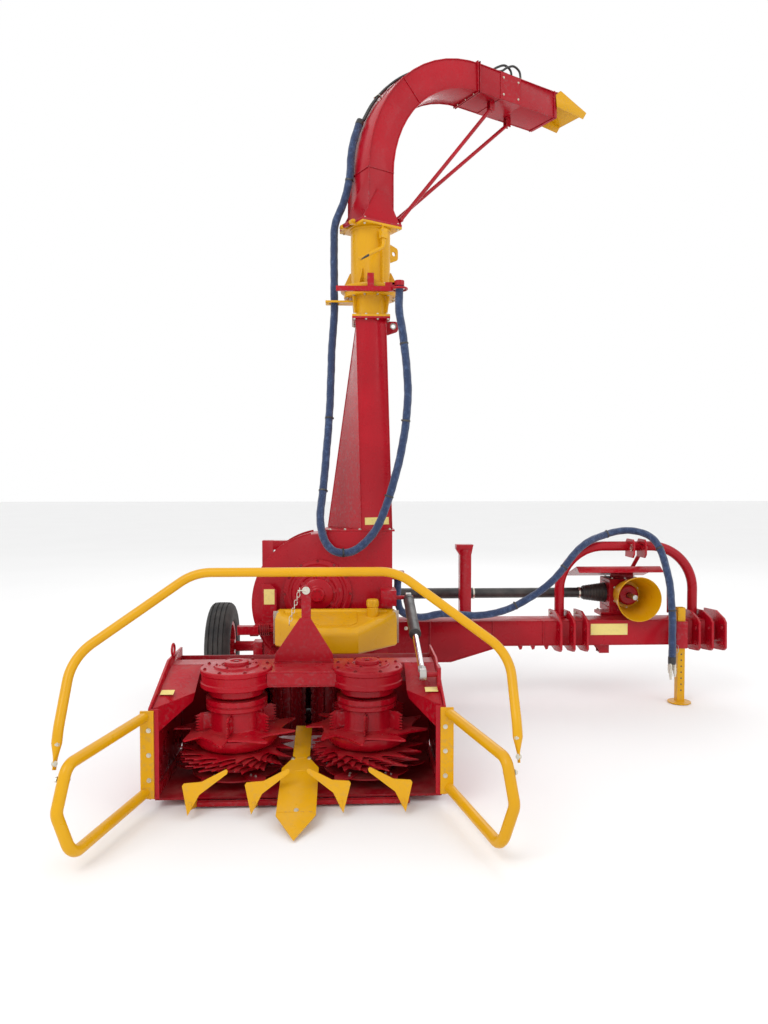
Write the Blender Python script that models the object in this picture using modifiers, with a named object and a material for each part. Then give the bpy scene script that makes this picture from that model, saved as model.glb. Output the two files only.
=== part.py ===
"""Tractor-mounted row-independent forage harvester, parked on its header, wheel and stand.

Metres, +Z up. The machine travels towards -Y, the tractor couples on its +X side.
Coordinates below are taken from the header: x = 0 at its middle, y = 0 at the front edge
of its side walls and z = 0 on the ground. The last step moves everything so that the
origin is in the middle of the machine's footprint.
"""
import math

import bmesh
import bpy
from mathutils import Matrix, Vector

# ---------------------------------------------------------------- driving dimensions
FIT = 0.0003            # gap between pieces that touch
RUN = 0.006             # running clearance between moving pieces
PIN_FIT = 0.001         # radial clearance of a pin in its eye

# header
HEADER_WIDTH = 1.300    # between the side walls
HEADER_DEPTH = 0.640    # side walls' front edge to the back wall
WALL = 0.010            # side wall plate
WALL_BASE = 0.060       # side wall's lower edge above ground
WALL_FRONT = 0.465      # side wall's height at its front edge
WALL_REAR = 0.600       # side wall's height at the rear
DRUM_SPACING = 0.630    # between the drum axes
DRUM_Y = 0.310
DRUM_RADIUS = 0.130
STAR_RADIUS = 0.298     # star wheel over its teeth
STAR_Z = 0.285
STACK_RADIUS = 0.272    # thin toothed discs over their teeth
STACK_Z = (0.212, 0.180, 0.148)
DISC_PLATE = 0.008
KNIFE_Z = 0.092
KNIFE_RADIUS = 0.290
PAN_Z = 0.040           # top of the pan below the knives
GEARBOX_LOW = 0.470
GEARBOX_HIGH = 0.565
HEADER_PIVOT = (0.0, 0.860, 0.420)
HOOP_FOOT = HEADER_WIDTH / 2 + 0.234     # where the front hoop's pressed ends stand

# chopper
HOUSING_CENTRE = (0.070, 0.740)     # x, z of the flywheel axis
HOUSING_RADIUS = 0.420
HOUSING_FRONT = 1.220
HOUSING_BACK = 1.560
SHEET = 0.008
FLYWHEEL_RADIUS = 0.360
FLYWHEEL_WIDTH = 0.120
COVER_RADIUS = 0.205
FEED_HALF_WIDTH = 0.240
FEED_LOW = 0.100
FEED_HIGH = 0.480
FEED_FRONT = 0.720
ROLLER_Y = 0.815
ROLLER_X = 0.112
ROLLER_RADIUS = 0.098

# tower and spout
TOWER_BASE_Z = 1.170
TOWER_TOP_Z = 2.470
TOWER_X = (0.270, 0.450)
TOWER_Y = (1.310, 1.530)
SLEW_X = 0.360
SLEW_Y = 1.420
COLUMN_RADIUS = 0.122
LEDGE_HOLE = (0.135, 1.420)  # where the hoses pass the slewing ring
COLUMN_LOW = 2.640
COLUMN_TOP = 3.030
SPOUT_HEADING = 30.0    # arm's direction from +X towards +Y, degrees
DUCT_WIDTH = 0.240
DUCT_HEIGHT = 0.170
DUCT_SHEET = 0.005
BEND_START = 3.340
BEND_RADIUS = 0.770
ARM_END = 1.460
FLAP_LENGTH = 0.270
HINGE_PIN = 0.008

# beam and hitch
BEAM_Y = (1.660, 1.840)
BEAM_TOP = 0.545
BEAM_START = 0.480
BEAM_END = 2.660
BEAM_TAPER_END = 1.250
BEAM_DEEP = 0.270       # lower edge at the chopper end
BEAM_SHALLOW = 0.375    # lower edge at the hitch end
HITCH_X = 2.165
LINK_SPAN = 0.925       # between the middles of the lower link brackets
LINK_PITCH = 0.088      # between neighbouring hitch plates
LINK_HOLE = 0.029
ARCH_TOP = 1.065
ARCH_TUBE = 0.033
GEARBOX_X = 2.150
PTO_Z = 0.660
CONE_Y = (1.600, 1.850)

# running gear and stand
WHEEL_X = -0.670
WHEEL_Y = 2.050
TYRE_RADIUS = 0.310
TYRE_WIDTH = 0.170
RIM_RADIUS = 0.175
AXLE_RADIUS = 0.024
STAND_X = 2.420
STAND_Y = 1.590
STAND_TUBE = 0.050

HOSE = 0.050
THIN_HOSE = 0.016

# ---------------------------------------------------------------- scene helpers


def clear_scene():
    for obj in list(bpy.data.objects):
        bpy.data.objects.remove(obj, do_unlink=True)


def collection(name):
    made = bpy.data.collections.new(name)
    bpy.context.scene.collection.children.link(made)
    return made


def material(name, colour, roughness, metallic=0.0):
    made = bpy.data.materials.new(name)
    made.use_nodes = True
    shader = made.node_tree.nodes["Principled BSDF"]
    shader.inputs["Base Color"].default_value = (*colour, 1.0)
    shader.inputs["Roughness"].default_value = roughness
    shader.inputs["Metallic"].default_value = metallic
    made.diffuse_color = (*colour, 1.0)
    return made


clear_scene()
PARTS = collection("forage_harvester")
RED = ("red_paint", (0.42, 0.012, 0.020), 0.38, 0.0)
YELLOW = ("yellow_paint", (0.84, 0.50, 0.02), 0.38, 0.0)
BLACK = ("black_plastic", (0.02, 0.02, 0.022), 0.5, 0.0)
TYRE = ("tyre_rubber", (0.03, 0.03, 0.03), 0.85, 0.0)
STEEL = ("steel", (0.45, 0.45, 0.46), 0.35, 1.0)
CHROME = ("chrome", (0.8, 0.8, 0.82), 0.08, 1.0)
SLEEVE = ("blue_sleeve", (0.02, 0.05, 0.20), 0.85, 0.0)
NODES = []
CORDS = []


def empty(name, place, parent=None):
    """An empty on a joint's axis, which carries one moving body."""
    holder = bpy.data.objects.new(name, None)
    holder.empty_display_size = 0.1
    PARTS.objects.link(holder)
    holder.location = place
    bpy.context.view_layer.update()
    if parent:
        carry(holder, parent)
    return holder


def carry(obj, parent):
    """Parents an object and leaves it where it is."""
    bpy.context.view_layer.update()
    obj.parent = parent
    obj.matrix_parent_inverse = parent.matrix_world.inverted()


def solid(name, mesh):
    obj = bpy.data.objects.new(name, mesh)
    PARTS.objects.link(obj)
    return obj


def evaluated(obj):
    """Replaces an object by its evaluated mesh, with loose caps welded."""
    bpy.context.view_layer.update()
    graph = bpy.context.evaluated_depsgraph_get()
    mesh = bpy.data.meshes.new_from_object(obj.evaluated_get(graph))
    cage = bmesh.new()
    cage.from_mesh(mesh)
    cage.transform(obj.matrix_world)
    bmesh.ops.remove_doubles(cage, verts=cage.verts, dist=0.00005)
    bmesh.ops.recalc_face_normals(cage, faces=cage.faces)
    cage.to_mesh(mesh)
    cage.free()
    fresh = solid(obj.name + "_mesh", mesh)
    bpy.data.objects.remove(obj, do_unlink=True)
    return fresh


def combine(base, tool, operation):
    cut = base.modifiers.new("combine", "BOOLEAN")
    cut.operation = operation
    cut.solver = "EXACT"
    cut.object = tool
    result = evaluated(base)
    bpy.data.objects.remove(tool, do_unlink=True)
    return result


def union(base, *tools):
    for tool in tools:
        base = combine(base, tool, "UNION")
    return base


def minus(base, *tools):
    for tool in tools:
        base = combine(base, tool, "DIFFERENCE")
    return base


def box(low, high):
    """A block between two corners."""
    cage = bmesh.new()
    bmesh.ops.create_cube(cage, size=1.0)
    middle = [(a + b) / 2 for a, b in zip(low, high)]
    size = [b - a for a, b in zip(low, high)]
    bmesh.ops.scale(cage, vec=size, verts=cage.verts)
    bmesh.ops.translate(cage, vec=middle, verts=cage.verts)
    mesh = bpy.data.meshes.new("box")
    cage.to_mesh(mesh)
    cage.free()
    return solid("box", mesh)


def rod(start, end, radius, end_radius=None, sides=16):
    """A round bar or cone between two points."""
    start, end = Vector(start), Vector(end)
    along = end - start
    cage = bmesh.new()
    bmesh.ops.create_cone(cage, cap_ends=True, segments=sides, radius1=radius,
                          radius2=radius if end_radius is None else end_radius,
                          depth=along.length)
    turn = Vector((0, 0, 1)).rotation_difference(along.normalized()).to_matrix().to_4x4()
    cage.transform(Matrix.Translation((start + end) / 2) @ turn)
    mesh = bpy.data.meshes.new("rod")
    cage.to_mesh(mesh)
    cage.free()
    return solid("rod", mesh)


def oblong(start, end, width, depth):
    """A rectangular bar between two points; depth is measured in the upright plane."""
    start, end = Vector(start), Vector(end)
    along = end - start
    cage = bmesh.new()
    bmesh.ops.create_cube(cage, size=1.0)
    bmesh.ops.scale(cage, vec=(width, depth, along.length), verts=cage.verts)
    turn = along.normalized().to_track_quat("Z", "Y").to_matrix().to_4x4()
    cage.transform(Matrix.Translation((start + end) / 2) @ turn)
    mesh = bpy.data.meshes.new("bar")
    cage.to_mesh(mesh)
    cage.free()
    return solid("bar", mesh)


PLANES = {
    "X": Matrix(((0, 0, 1), (1, 0, 0), (0, 1, 0))).to_4x4(),    # outline (y, z)
    "Y": Matrix(((1, 0, 0), (0, 0, -1), (0, 1, 0))).to_4x4(),   # outline (x, z)
    "Z": Matrix.Identity(4),                                    # outline (x, y)
}


def plate(outline, normal, low, high, holes=()):
    """A flat outline extruded between two levels along one axis."""
    curve = bpy.data.curves.new("outline", "CURVE")
    curve.dimensions = "2D"
    curve.fill_mode = "BOTH"
    curve.extrude = (high - low) / 2
    for loop in (outline, *holes):
        spline = curve.splines.new("POLY")
        spline.points.add(len(loop) - 1)
        for point, (a, b) in zip(spline.points, loop):
            point.co = (a, b, 0, 1)
        spline.use_cyclic_u = True
    obj = solid("outline", curve)
    shift = {"X": (1, 0, 0), "Y": (0, 1, 0), "Z": (0, 0, 1)}[normal]
    obj.matrix_world = Matrix.Translation(Vector(shift) * (low + high) / 2) @ PLANES[normal]
    return evaluated(obj)


def circle(centre, radius, sides=24, start=0.0, sweep=360.0):
    step = sweep / sides
    count = sides if sweep >= 360.0 else sides + 1
    return [(centre[0] + radius * math.cos(math.radians(start + step * i)),
             centre[1] + radius * math.sin(math.radians(start + step * i)))
            for i in range(count)]


def rounded(corners, radius, steps=3):
    """An outline whose corners are arcs."""
    points = []
    for i, corner in enumerate(corners):
        here = Vector(corner)
        back = (Vector(corners[i - 1]) - here).normalized()
        ahead = (Vector(corners[(i + 1) % len(corners)]) - here).normalized()
        half = back.angle(ahead) / 2
        reach = radius / math.tan(half)
        centre = here + (back + ahead).normalized() * radius / math.sin(half)
        first, last = here + back * reach - centre, here + ahead * reach - centre
        turn = first.angle_signed(last)
        for k in range(steps + 1):
            spot = centre + Matrix.Rotation(-turn * k / steps, 2) @ first
            points.append((spot.x, spot.y))
    return points


def turned(profile, centre, axis="Z", sides=24):
    """A solid of revolution; profile is (radius, height) and closes on itself or the axis."""
    mesh = bpy.data.meshes.new("profile")
    closed = profile[0][0] > 0 or profile[-1][0] > 0
    edges = [(i, i + 1) for i in range(len(profile) - 1)]
    if closed:
        edges.append((len(profile) - 1, 0))
    mesh.from_pydata([(r, 0, h) for r, h in profile], edges, [])
    obj = solid("turned", mesh)
    screw = obj.modifiers.new("screw", "SCREW")
    screw.steps = sides
    screw.render_steps = sides
    screw.use_merge_vertices = True
    screw.merge_threshold = 0.00005
    face = {"Z": Matrix.Identity(4),
            "X": Matrix.Rotation(math.radians(90), 4, "Y"),
            "Y": Matrix.Rotation(math.radians(-90), 4, "X")}[axis]
    obj.matrix_world = Matrix.Translation(centre) @ face
    return evaluated(obj)


def smooth_route(points, spacing):
    """Points at an even spacing on a smooth curve through a route's own points."""
    ends = [Vector(p) for p in points]
    ends = [2 * ends[0] - ends[1], *ends, 2 * ends[-1] - ends[-2]]
    fine = []
    for a, b, c, d in zip(ends, ends[1:], ends[2:], ends[3:]):
        for k in range(24):
            t = k / 24
            fine.append(0.5 * (2 * b + (c - a) * t + (2 * a - 5 * b + 4 * c - d) * t * t
                               + (3 * b - a - 3 * c + d) * t ** 3))
    fine.append(ends[-2])
    lengths = [0.0]
    for a, b in zip(fine, fine[1:]):
        lengths.append(lengths[-1] + (b - a).length)
    count = max(2, round(lengths[-1] / spacing))
    route, k = [], 0
    for i in range(count + 1):
        goal = lengths[-1] * i / count
        while k < len(lengths) - 2 and lengths[k + 1] < goal:
            k += 1
        part = (goal - lengths[k]) / (lengths[k + 1] - lengths[k])
        route.append(fine[k].lerp(fine[k + 1], min(1.0, part)))
    return route


def filleted(points, radius, steps=6, cyclic=False):
    """A bent tube's centre line: straight runs joined by arcs."""
    spots = [Vector(p) for p in points]
    line = [] if cyclic else [spots[0]]
    indices = range(len(spots)) if cyclic else range(1, len(spots) - 1)
    for i in indices:
        here = spots[i]
        back = (spots[i - 1] - here).normalized()
        ahead = (spots[(i + 1) % len(spots)] - here).normalized()
        half = back.angle(ahead) / 2
        reach = radius / math.tan(half)
        centre = here + (back + ahead).normalized() * radius / math.sin(half)
        first, last = here + back * reach - centre, here + ahead * reach - centre
        for k in range(steps + 1):
            line.append(centre + first.slerp(last, k / steps).normalized() * radius)
    return line if cyclic else [*line, spots[-1]]


def tube(route, diameter, resolution=3, cyclic=False):
    """A solid round bar along a route."""
    curve = bpy.data.curves.new("tube", "CURVE")
    curve.dimensions = "3D"
    curve.bevel_depth = diameter / 2
    curve.bevel_resolution = resolution
    curve.use_fill_caps = True
    spline = curve.splines.new("POLY")
    spline.points.add(len(route) - 1)
    for point, spot in zip(spline.points, route):
        point.co = (*spot, 1)
    spline.use_cyclic_u = cyclic
    return evaluated(solid("tube", curve))


def loft(lower, upper, thickness=None):
    """A skin between two rings of points, closed at both ends or given a wall inwards."""
    cage = bmesh.new()
    low = [cage.verts.new(p) for p in lower]
    high = [cage.verts.new(p) for p in upper]
    for i in range(len(low)):
        j = (i + 1) % len(low)
        cage.faces.new((low[i], low[j], high[j], high[i]))
    if thickness is None:
        cage.faces.new(low)
        cage.faces.new(high)
    bmesh.ops.recalc_face_normals(cage, faces=cage.faces)
    mesh = bpy.data.meshes.new("loft")
    cage.to_mesh(mesh)
    cage.free()
    obj = solid("loft", mesh)
    if thickness is not None:
        wall = obj.modifiers.new("wall", "SOLIDIFY")
        wall.thickness = thickness
        wall.offset = -1.0
        wall.use_even_offset = True
    return evaluated(obj)


def finish_node(name, obj, look, parent):
    """Names a finished solid, gives it its material and its body."""
    obj.name = name
    obj.data.name = name
    shade, colour, roughness, metallic = look
    obj.data.materials.clear()
    obj.data.materials.append(material(f"{name}_{shade}", colour, roughness, metallic))
    obj.data.shade_smooth()
    obj.data.set_sharp_from_angle(angle=math.radians(32))
    carry(obj, parent)
    NODES.append(obj)
    return obj


def mirrored(points):
    return [(-x, *rest) for x, *rest in points]


# ---------------------------------------------------------------- bodies
MACHINE = empty("machine", (0, 0, 0))
HEADER = empty("header_axis", HEADER_PIVOT, MACHINE)
CYLINDER_LIFT = (0.555, 1.090, 0.790)       # lift cylinder's pin on the chopper
LIFT_EYE = (0.590, 0.180, 0.560)            # lift cylinder's pin on the header
LIFT_BARREL = empty("lift_barrel_axis", CYLINDER_LIFT, MACHINE)
LIFT_ROD = empty("lift_rod_axis", LIFT_EYE, LIFT_BARREL)
DRUM_AXES = {"left": -DRUM_SPACING / 2, "right": DRUM_SPACING / 2}
DRUMS = {side: empty(f"drum_{side}_axis", (x, DRUM_Y, STAR_Z), HEADER)
         for side, x in DRUM_AXES.items()}
KNIVES = {side: empty(f"knife_{side}_axis", (x, DRUM_Y, KNIFE_Z), HEADER)
          for side, x in DRUM_AXES.items()}
ROLLERS = {side: empty(f"roller_{side}_axis", (x, ROLLER_Y, FEED_LOW), MACHINE)
           for side, x in {"left": -ROLLER_X, "right": ROLLER_X}.items()}
ROTOR = empty("rotor_axis", (HOUSING_CENTRE[0], HOUSING_FRONT, HOUSING_CENTRE[1]), MACHINE)
PTO = empty("pto_axis", (GEARBOX_X, CONE_Y[0], PTO_Z + 0.03), MACHINE)
WHEEL = empty("wheel_axis", (WHEEL_X, WHEEL_Y, TYRE_RADIUS), MACHINE)
STAND = empty("stand_axis", (STAND_X, STAND_Y, 0), MACHINE)
TURRET = empty("turret_axis", (SLEW_X, SLEW_Y, COLUMN_LOW), MACHINE)
FOLD = (SLEW_X - 0.165, SLEW_Y, COLUMN_TOP + 0.002)
SPOUT = empty("spout_axis", FOLD, TURRET)
ARM_Z = BEND_START + BEND_RADIUS
FLAP_PIN = (SLEW_X + ARM_END + 0.012, SLEW_Y, ARM_Z + DUCT_HEIGHT / 2 + 0.012)
FLAP = empty("flap_axis", FLAP_PIN, SPOUT)
FLAP_ANCHOR = (SLEW_X + 1.060, SLEW_Y, ARM_Z + DUCT_HEIGHT / 2 + 0.050)
FLAP_LUG = (FLAP_PIN[0] + 0.030, SLEW_Y, FLAP_PIN[2] + 0.050)
FLAP_BARREL = empty("flap_barrel_axis", FLAP_ANCHOR, SPOUT)
FLAP_ROD = empty("flap_rod_axis", FLAP_LUG, FLAP_BARREL)
SIDES = {"left": -1, "right": 1}


def toothed(centre, teeth, root, tip, lean=0.55, flat=0.12):
    """A toothed disc's outline: each tooth rises slowly and drops steeply."""
    points = []
    pitch = 360.0 / teeth
    for i in range(teeth):
        for share, radius in ((0.0, root), (lean, tip), (lean + flat, tip)):
            angle = math.radians(pitch * (i + share))
            points.append((centre[0] + radius * math.cos(angle),
                           centre[1] + radius * math.sin(angle)))
    return points


def inset(corners, distance):
    """An outline moved inwards by a wall's thickness; corners run anticlockwise."""
    moved = []
    count = len(corners)
    for i in range(count):
        a, b, c = (Vector(corners[k % count]) for k in (i - 1, i, i + 1))
        first, second = (b - a).normalized(), (c - b).normalized()
        normal = Vector((-first.y, first.x))
        other = Vector((-second.y, second.x))
        moved.append(b + (normal + other) * distance / (1 + normal.dot(other)))
    return [(p.x, p.y) for p in moved]


def ring(outline, z):
    return [(x, y, z) for x, y in outline]


# ---------------------------------------------------------------- chopper and feed
def chopper_housing():
    cx, cz = HOUSING_CENTRE
    outlet = (0.090, 0.485)

    def body(wall, top):
        drum = rod((cx, HOUSING_FRONT + wall, cz), (cx, HOUSING_BACK - wall, cz),
                   HOUSING_RADIUS - wall, sides=32)
        chute = box((outlet[0] + wall, HOUSING_FRONT + wall, cz),
                    (outlet[1] - wall, HOUSING_BACK - wall, top))
        return union(drum, chute)

    shell = body(0.0, TOWER_BASE_Z - FIT)
    bracket = box((0.410, 1.050, 0.745), (0.500, HOUSING_FRONT + 0.004, 0.835))
    pin = rod((0.450, *CYLINDER_LIFT[1:]), (0.600, *CYLINDER_LIFT[1:]), 0.012)
    shell = union(shell, bracket, pin)
    inlet = box((-0.160, HOUSING_FRONT - 0.020, 0.372), (0.160, HOUSING_FRONT + 0.020, 0.470))
    shell = minus(shell, body(SHEET, TOWER_BASE_Z + 0.1), inlet)
    finish_node("chopper_housing", shell, RED, MACHINE)


def housing_cover():
    r = COVER_RADIUS
    profile = [(0, 0), (0, -0.085), (0.045, -0.085), (0.060, -0.060), (0.095, -0.055),
               (0.100, -0.035), (r * 0.75, -0.032), (r * 0.78, -0.018), (r, -0.018), (r, 0)]
    middle = (0.036, HOUSING_FRONT - FIT, 0.800)
    finish_node("housing_cover", turned(profile, middle, "Y", 28), RED, MACHINE)


def flywheel():
    cx, cz = HOUSING_CENTRE
    middle = (HOUSING_FRONT + HOUSING_BACK) / 2
    wheel = rod((cx, middle - FLYWHEEL_WIDTH / 2, cz), (cx, middle + FLYWHEEL_WIDTH / 2, cz),
                FLYWHEEL_RADIUS, sides=24)
    finish_node("flywheel", wheel, STEEL, ROTOR)


def feed_box():
    half, wall = FEED_HALF_WIDTH, SHEET
    back = HOUSING_FRONT - FIT
    shell = box((-half, FEED_FRONT, FEED_LOW), (half, back, FEED_HIGH))
    throat = box((-half + wall, FEED_FRONT - 0.1, FEED_LOW + wall),
                 (half - wall, back + 0.1, FEED_HIGH - wall))
    shell = minus(shell, throat)
    for x in (-ROLLER_X, ROLLER_X):
        shell = minus(shell, rod((x, ROLLER_Y, FEED_LOW - 0.02), (x, ROLLER_Y, FEED_HIGH + 0.02),
                                 0.018 + PIN_FIT, sides=16))
    for side in (-1, 1):
        shell = union(shell, rod((side * (half - 0.004), *HEADER_PIVOT[1:]),
                                 (side * (half + 0.040), *HEADER_PIVOT[1:]), 0.020))
    finish_node("feed_box", shell, RED, MACHINE)


def feed_roller(side):
    x = SIDES[side] * ROLLER_X
    low, high = FEED_LOW + SHEET + RUN, FEED_HIGH - SHEET - RUN
    ribs = toothed((x, ROLLER_Y), 10, ROLLER_RADIUS * 0.78, ROLLER_RADIUS, 0.3, 0.25)
    body = plate(ribs, "Z", low, high)
    body = union(body, rod((x, ROLLER_Y, FEED_LOW - 0.010), (x, ROLLER_Y, FEED_HIGH + 0.012),
                           0.018, sides=16))
    finish_node(f"feed_roller_{side}", body, RED, ROLLERS[side])


def tank():
    outline = [(-0.200, 1.115), (-0.200, 1.000), (0.035, 0.765), (0.275, 0.765),
               (0.500, 1.000), (0.500, 1.115)]
    lower, upper = 0.525, 0.735
    body = plate(outline, "Z", lower, upper)
    body = union(body, rod((0.360, 1.010, upper - 0.01), (0.360, 1.010, upper + 0.060), 0.030))
    recess = plate(inset(outline, 0.035), "Z", upper - 0.012, upper + 0.1)
    neck = rod((0.360, 1.010, upper - 0.02), (0.360, 1.010, upper + 0.060), 0.036)
    body = minus(body, minus(recess, neck))
    foot = box((-0.060, 0.840, FEED_HIGH + FIT), (0.060, 1.000, lower + 0.01))
    finish_node("tank", union(body, foot), YELLOW, MACHINE)


# ---------------------------------------------------------------- tower and turret
TOWER_LOW = [(0.300, 1.260), (0.485, 1.260), (0.485, 1.555), (0.090, 1.555)]
TOWER_HIGH = [(TOWER_X[0], TOWER_Y[0]), (TOWER_X[1], TOWER_Y[0]),
              (TOWER_X[1], TOWER_Y[1]), (TOWER_X[0], TOWER_Y[1])]


def tower():
    body = loft(ring(TOWER_LOW, TOWER_BASE_Z), ring(TOWER_HIGH, TOWER_TOP_Z))
    foot = box((0.075, HOUSING_FRONT + 0.01, TOWER_BASE_Z),
               (0.500, HOUSING_BACK + 0.010, TOWER_BASE_Z + 0.010))
    top = box((TOWER_X[0] - 0.025, TOWER_Y[0] - 0.025, TOWER_TOP_Z - 0.012),
              (TOWER_X[1] + 0.025, TOWER_Y[1] + 0.025, TOWER_TOP_Z - FIT))
    lug = plate(rounded([(0.440, 2.370), (0.530, 2.400), (0.530, 2.462), (0.440, 2.462)], 0.02),
                "Y", 1.400, 1.412, [circle((0.500, 2.432), 0.013, 12)])
    body = union(body, foot, top, lug)
    bore = loft(ring(inset(TOWER_LOW, SHEET), TOWER_BASE_Z - 0.01),
                ring(inset(TOWER_HIGH, SHEET), TOWER_TOP_Z + 0.01))
    finish_node("tower", minus(body, bore), RED, MACHINE)


def square_ring(count, centre, half, z):
    """As many points as a circle has, on a rectangle."""
    points = []
    for i in range(count):
        angle = 2 * math.pi * i / count
        reach = max(abs(math.cos(angle)) / half[0], abs(math.sin(angle)) / half[1])
        points.append((centre[0] + math.cos(angle) / reach,
                       centre[1] + math.sin(angle) / reach, z))
    return points


def turret_base():
    centre = (SLEW_X, SLEW_Y)
    half = ((TOWER_X[1] - TOWER_X[0]) / 2, (TOWER_Y[1] - TOWER_Y[0]) / 2)
    low, high = TOWER_TOP_Z, COLUMN_LOW - RUN
    flange = box((SLEW_X - half[0] - 0.025, SLEW_Y - half[1] - 0.025, low),
                 (SLEW_X + half[0] + 0.025, SLEW_Y + half[1] + 0.025, low + 0.012))
    funnel = loft(square_ring(24, centre, half, low + 0.005),
                  ring(circle(centre, COLUMN_RADIUS, 24), high - 0.030))
    top = rod((*centre, high - 0.032), (*centre, high), 0.165, sides=24)
    ledge = plate([(0.082, 1.372), (0.330, 1.372), (0.330, 1.468), (0.082, 1.468)], "Z",
                  2.572, 2.582, [circle(LEDGE_HOLE, 0.033, 16)])
    body = union(funnel, flange, top, ledge)
    inner = [h - SHEET for h in half]
    bore = loft(square_ring(24, centre, inner, low - 0.01),
                ring(circle(centre, COLUMN_RADIUS - SHEET, 24), high - 0.030))
    mouth = rod((*centre, high - 0.034), (*centre, high + 0.01), COLUMN_RADIUS - SHEET - 0.002,
                sides=24)
    finish_node("turret_base", minus(body, union(bore, mouth)), YELLOW, MACHINE)


def turret_column():
    centre = (SLEW_X, SLEW_Y)
    low, top = COLUMN_LOW, COLUMN_TOP
    pipe = rod((*centre, low + 0.001), (*centre, top - 0.001), COLUMN_RADIUS, sides=24)
    foot = rod((*centre, low), (*centre, low + 0.022), 0.185, sides=24)
    head = box((SLEW_X - 0.140, SLEW_Y - 0.140, top - 0.014), (SLEW_X + 0.140, SLEW_Y + 0.140, top))
    body = union(pipe, foot, head)
    for side in (-1, 1):
        rib_y = SLEW_Y + side * (COLUMN_RADIUS + 0.008)
        rib = box((SLEW_X - 0.004, rib_y - 0.015, low + 0.015),
                  (SLEW_X + 0.004, rib_y + 0.015, top - 0.010))
        y = SLEW_Y + side * 0.055
        strap = box((FOLD[0] - 0.006, y - 0.016, top - 0.013), (SLEW_X - 0.130, y + 0.016, top - 0.003))
        knuckle = rod((FOLD[0], y - 0.016, FOLD[2]), (FOLD[0], y + 0.016, FOLD[2]), 0.014)
        body = union(body, rib, strap, knuckle)
    lug_x = SLEW_X + COLUMN_RADIUS - 0.012
    lug = plate(rounded([(lug_x, top - 0.200), (SLEW_X + 0.200, top - 0.160),
                         (SLEW_X + 0.200, top - 0.090), (lug_x, top - 0.060)], 0.02),
                "Y", SLEW_Y - 0.006, SLEW_Y + 0.006, [circle((SLEW_X + 0.170, top - 0.125), 0.014, 12)])
    body = union(body, lug)
    bore = rod((*centre, low - 0.01), (*centre, top + 0.01), COLUMN_RADIUS - SHEET, sides=24)
    body = minus(body, bore)
    pin = rod((FOLD[0], FOLD[1] - 0.085, FOLD[2]), (FOLD[0], FOLD[1] + 0.085, FOLD[2]), HINGE_PIN)
    finish_node("turret_column", union(body, pin), YELLOW, TURRET)


def latch_lever():
    """The clamp's hand lever on the column, clear of the pipe."""
    y = SLEW_Y - 0.165
    handle = tube(filleted([(SLEW_X - 0.010, y, 2.960), (SLEW_X - 0.010, y, 2.880),
                            (SLEW_X - 0.200, y - 0.030, 2.770)], 0.04, 4), 0.022, 1)
    block = box((SLEW_X - 0.030, SLEW_Y - 0.1803, 2.930), (SLEW_X + 0.010, SLEW_Y - 0.1453, 2.985))
    finish_node("latch_lever", union(handle, block), YELLOW, TURRET)


def unslewed(point):
    """A place around the turret, turned back to where it is modelled."""
    turn = Matrix.Rotation(math.radians(-SPOUT_HEADING), 4, "Z")
    middle = Vector((SLEW_X, SLEW_Y, 0))
    return turn @ (Vector(point) - middle) + middle


def hose_guide():
    """The arm in front of the slewing ring, whose eye holds the hoses' loop."""
    bar = oblong((0.150, 1.200, 2.612), (0.485, 1.200, 2.612), 0.022, 0.030)
    neck = box((0.335, 1.192, 2.600), (0.375, 1.212, 2.705))
    arm = box((0.335, 1.195, 2.680), (0.375, SLEW_Y - COLUMN_RADIUS - 0.004, 2.704))
    eye = tube([(0.525 + 0.045 * math.cos(a), 1.200 + 0.045 * math.sin(a), 2.612)
                for a in (2 * math.pi * i / 16 for i in range(16))], 0.014, 1, cyclic=True)
    holder = rod((0.525, 1.200, 2.6283), (0.525, 1.200, 2.660), 0.030)
    strut = box((0.440, 1.190, 2.622), (0.498, 1.210, 2.650))
    cap = box((0.480, 1.190, 2.632), (0.530, 1.210, 2.650))
    body = union(bar, neck, arm, eye, strut, cap, holder)
    body.matrix_world = (Matrix.Translation((SLEW_X, SLEW_Y, 0))
                         @ Matrix.Rotation(math.radians(-SPOUT_HEADING), 4, "Z")
                         @ Matrix.Translation((-SLEW_X, -SLEW_Y, 0)))
    finish_node("hose_guide", evaluated(body), RED, TURRET)


# ---------------------------------------------------------------- spout
def across(place, half, radius):
    """A small pin through a place, across the spout's arm."""
    x, y, z = place
    return rod((x, y - half, z), (x, y + half, z), radius, sides=12)


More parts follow.
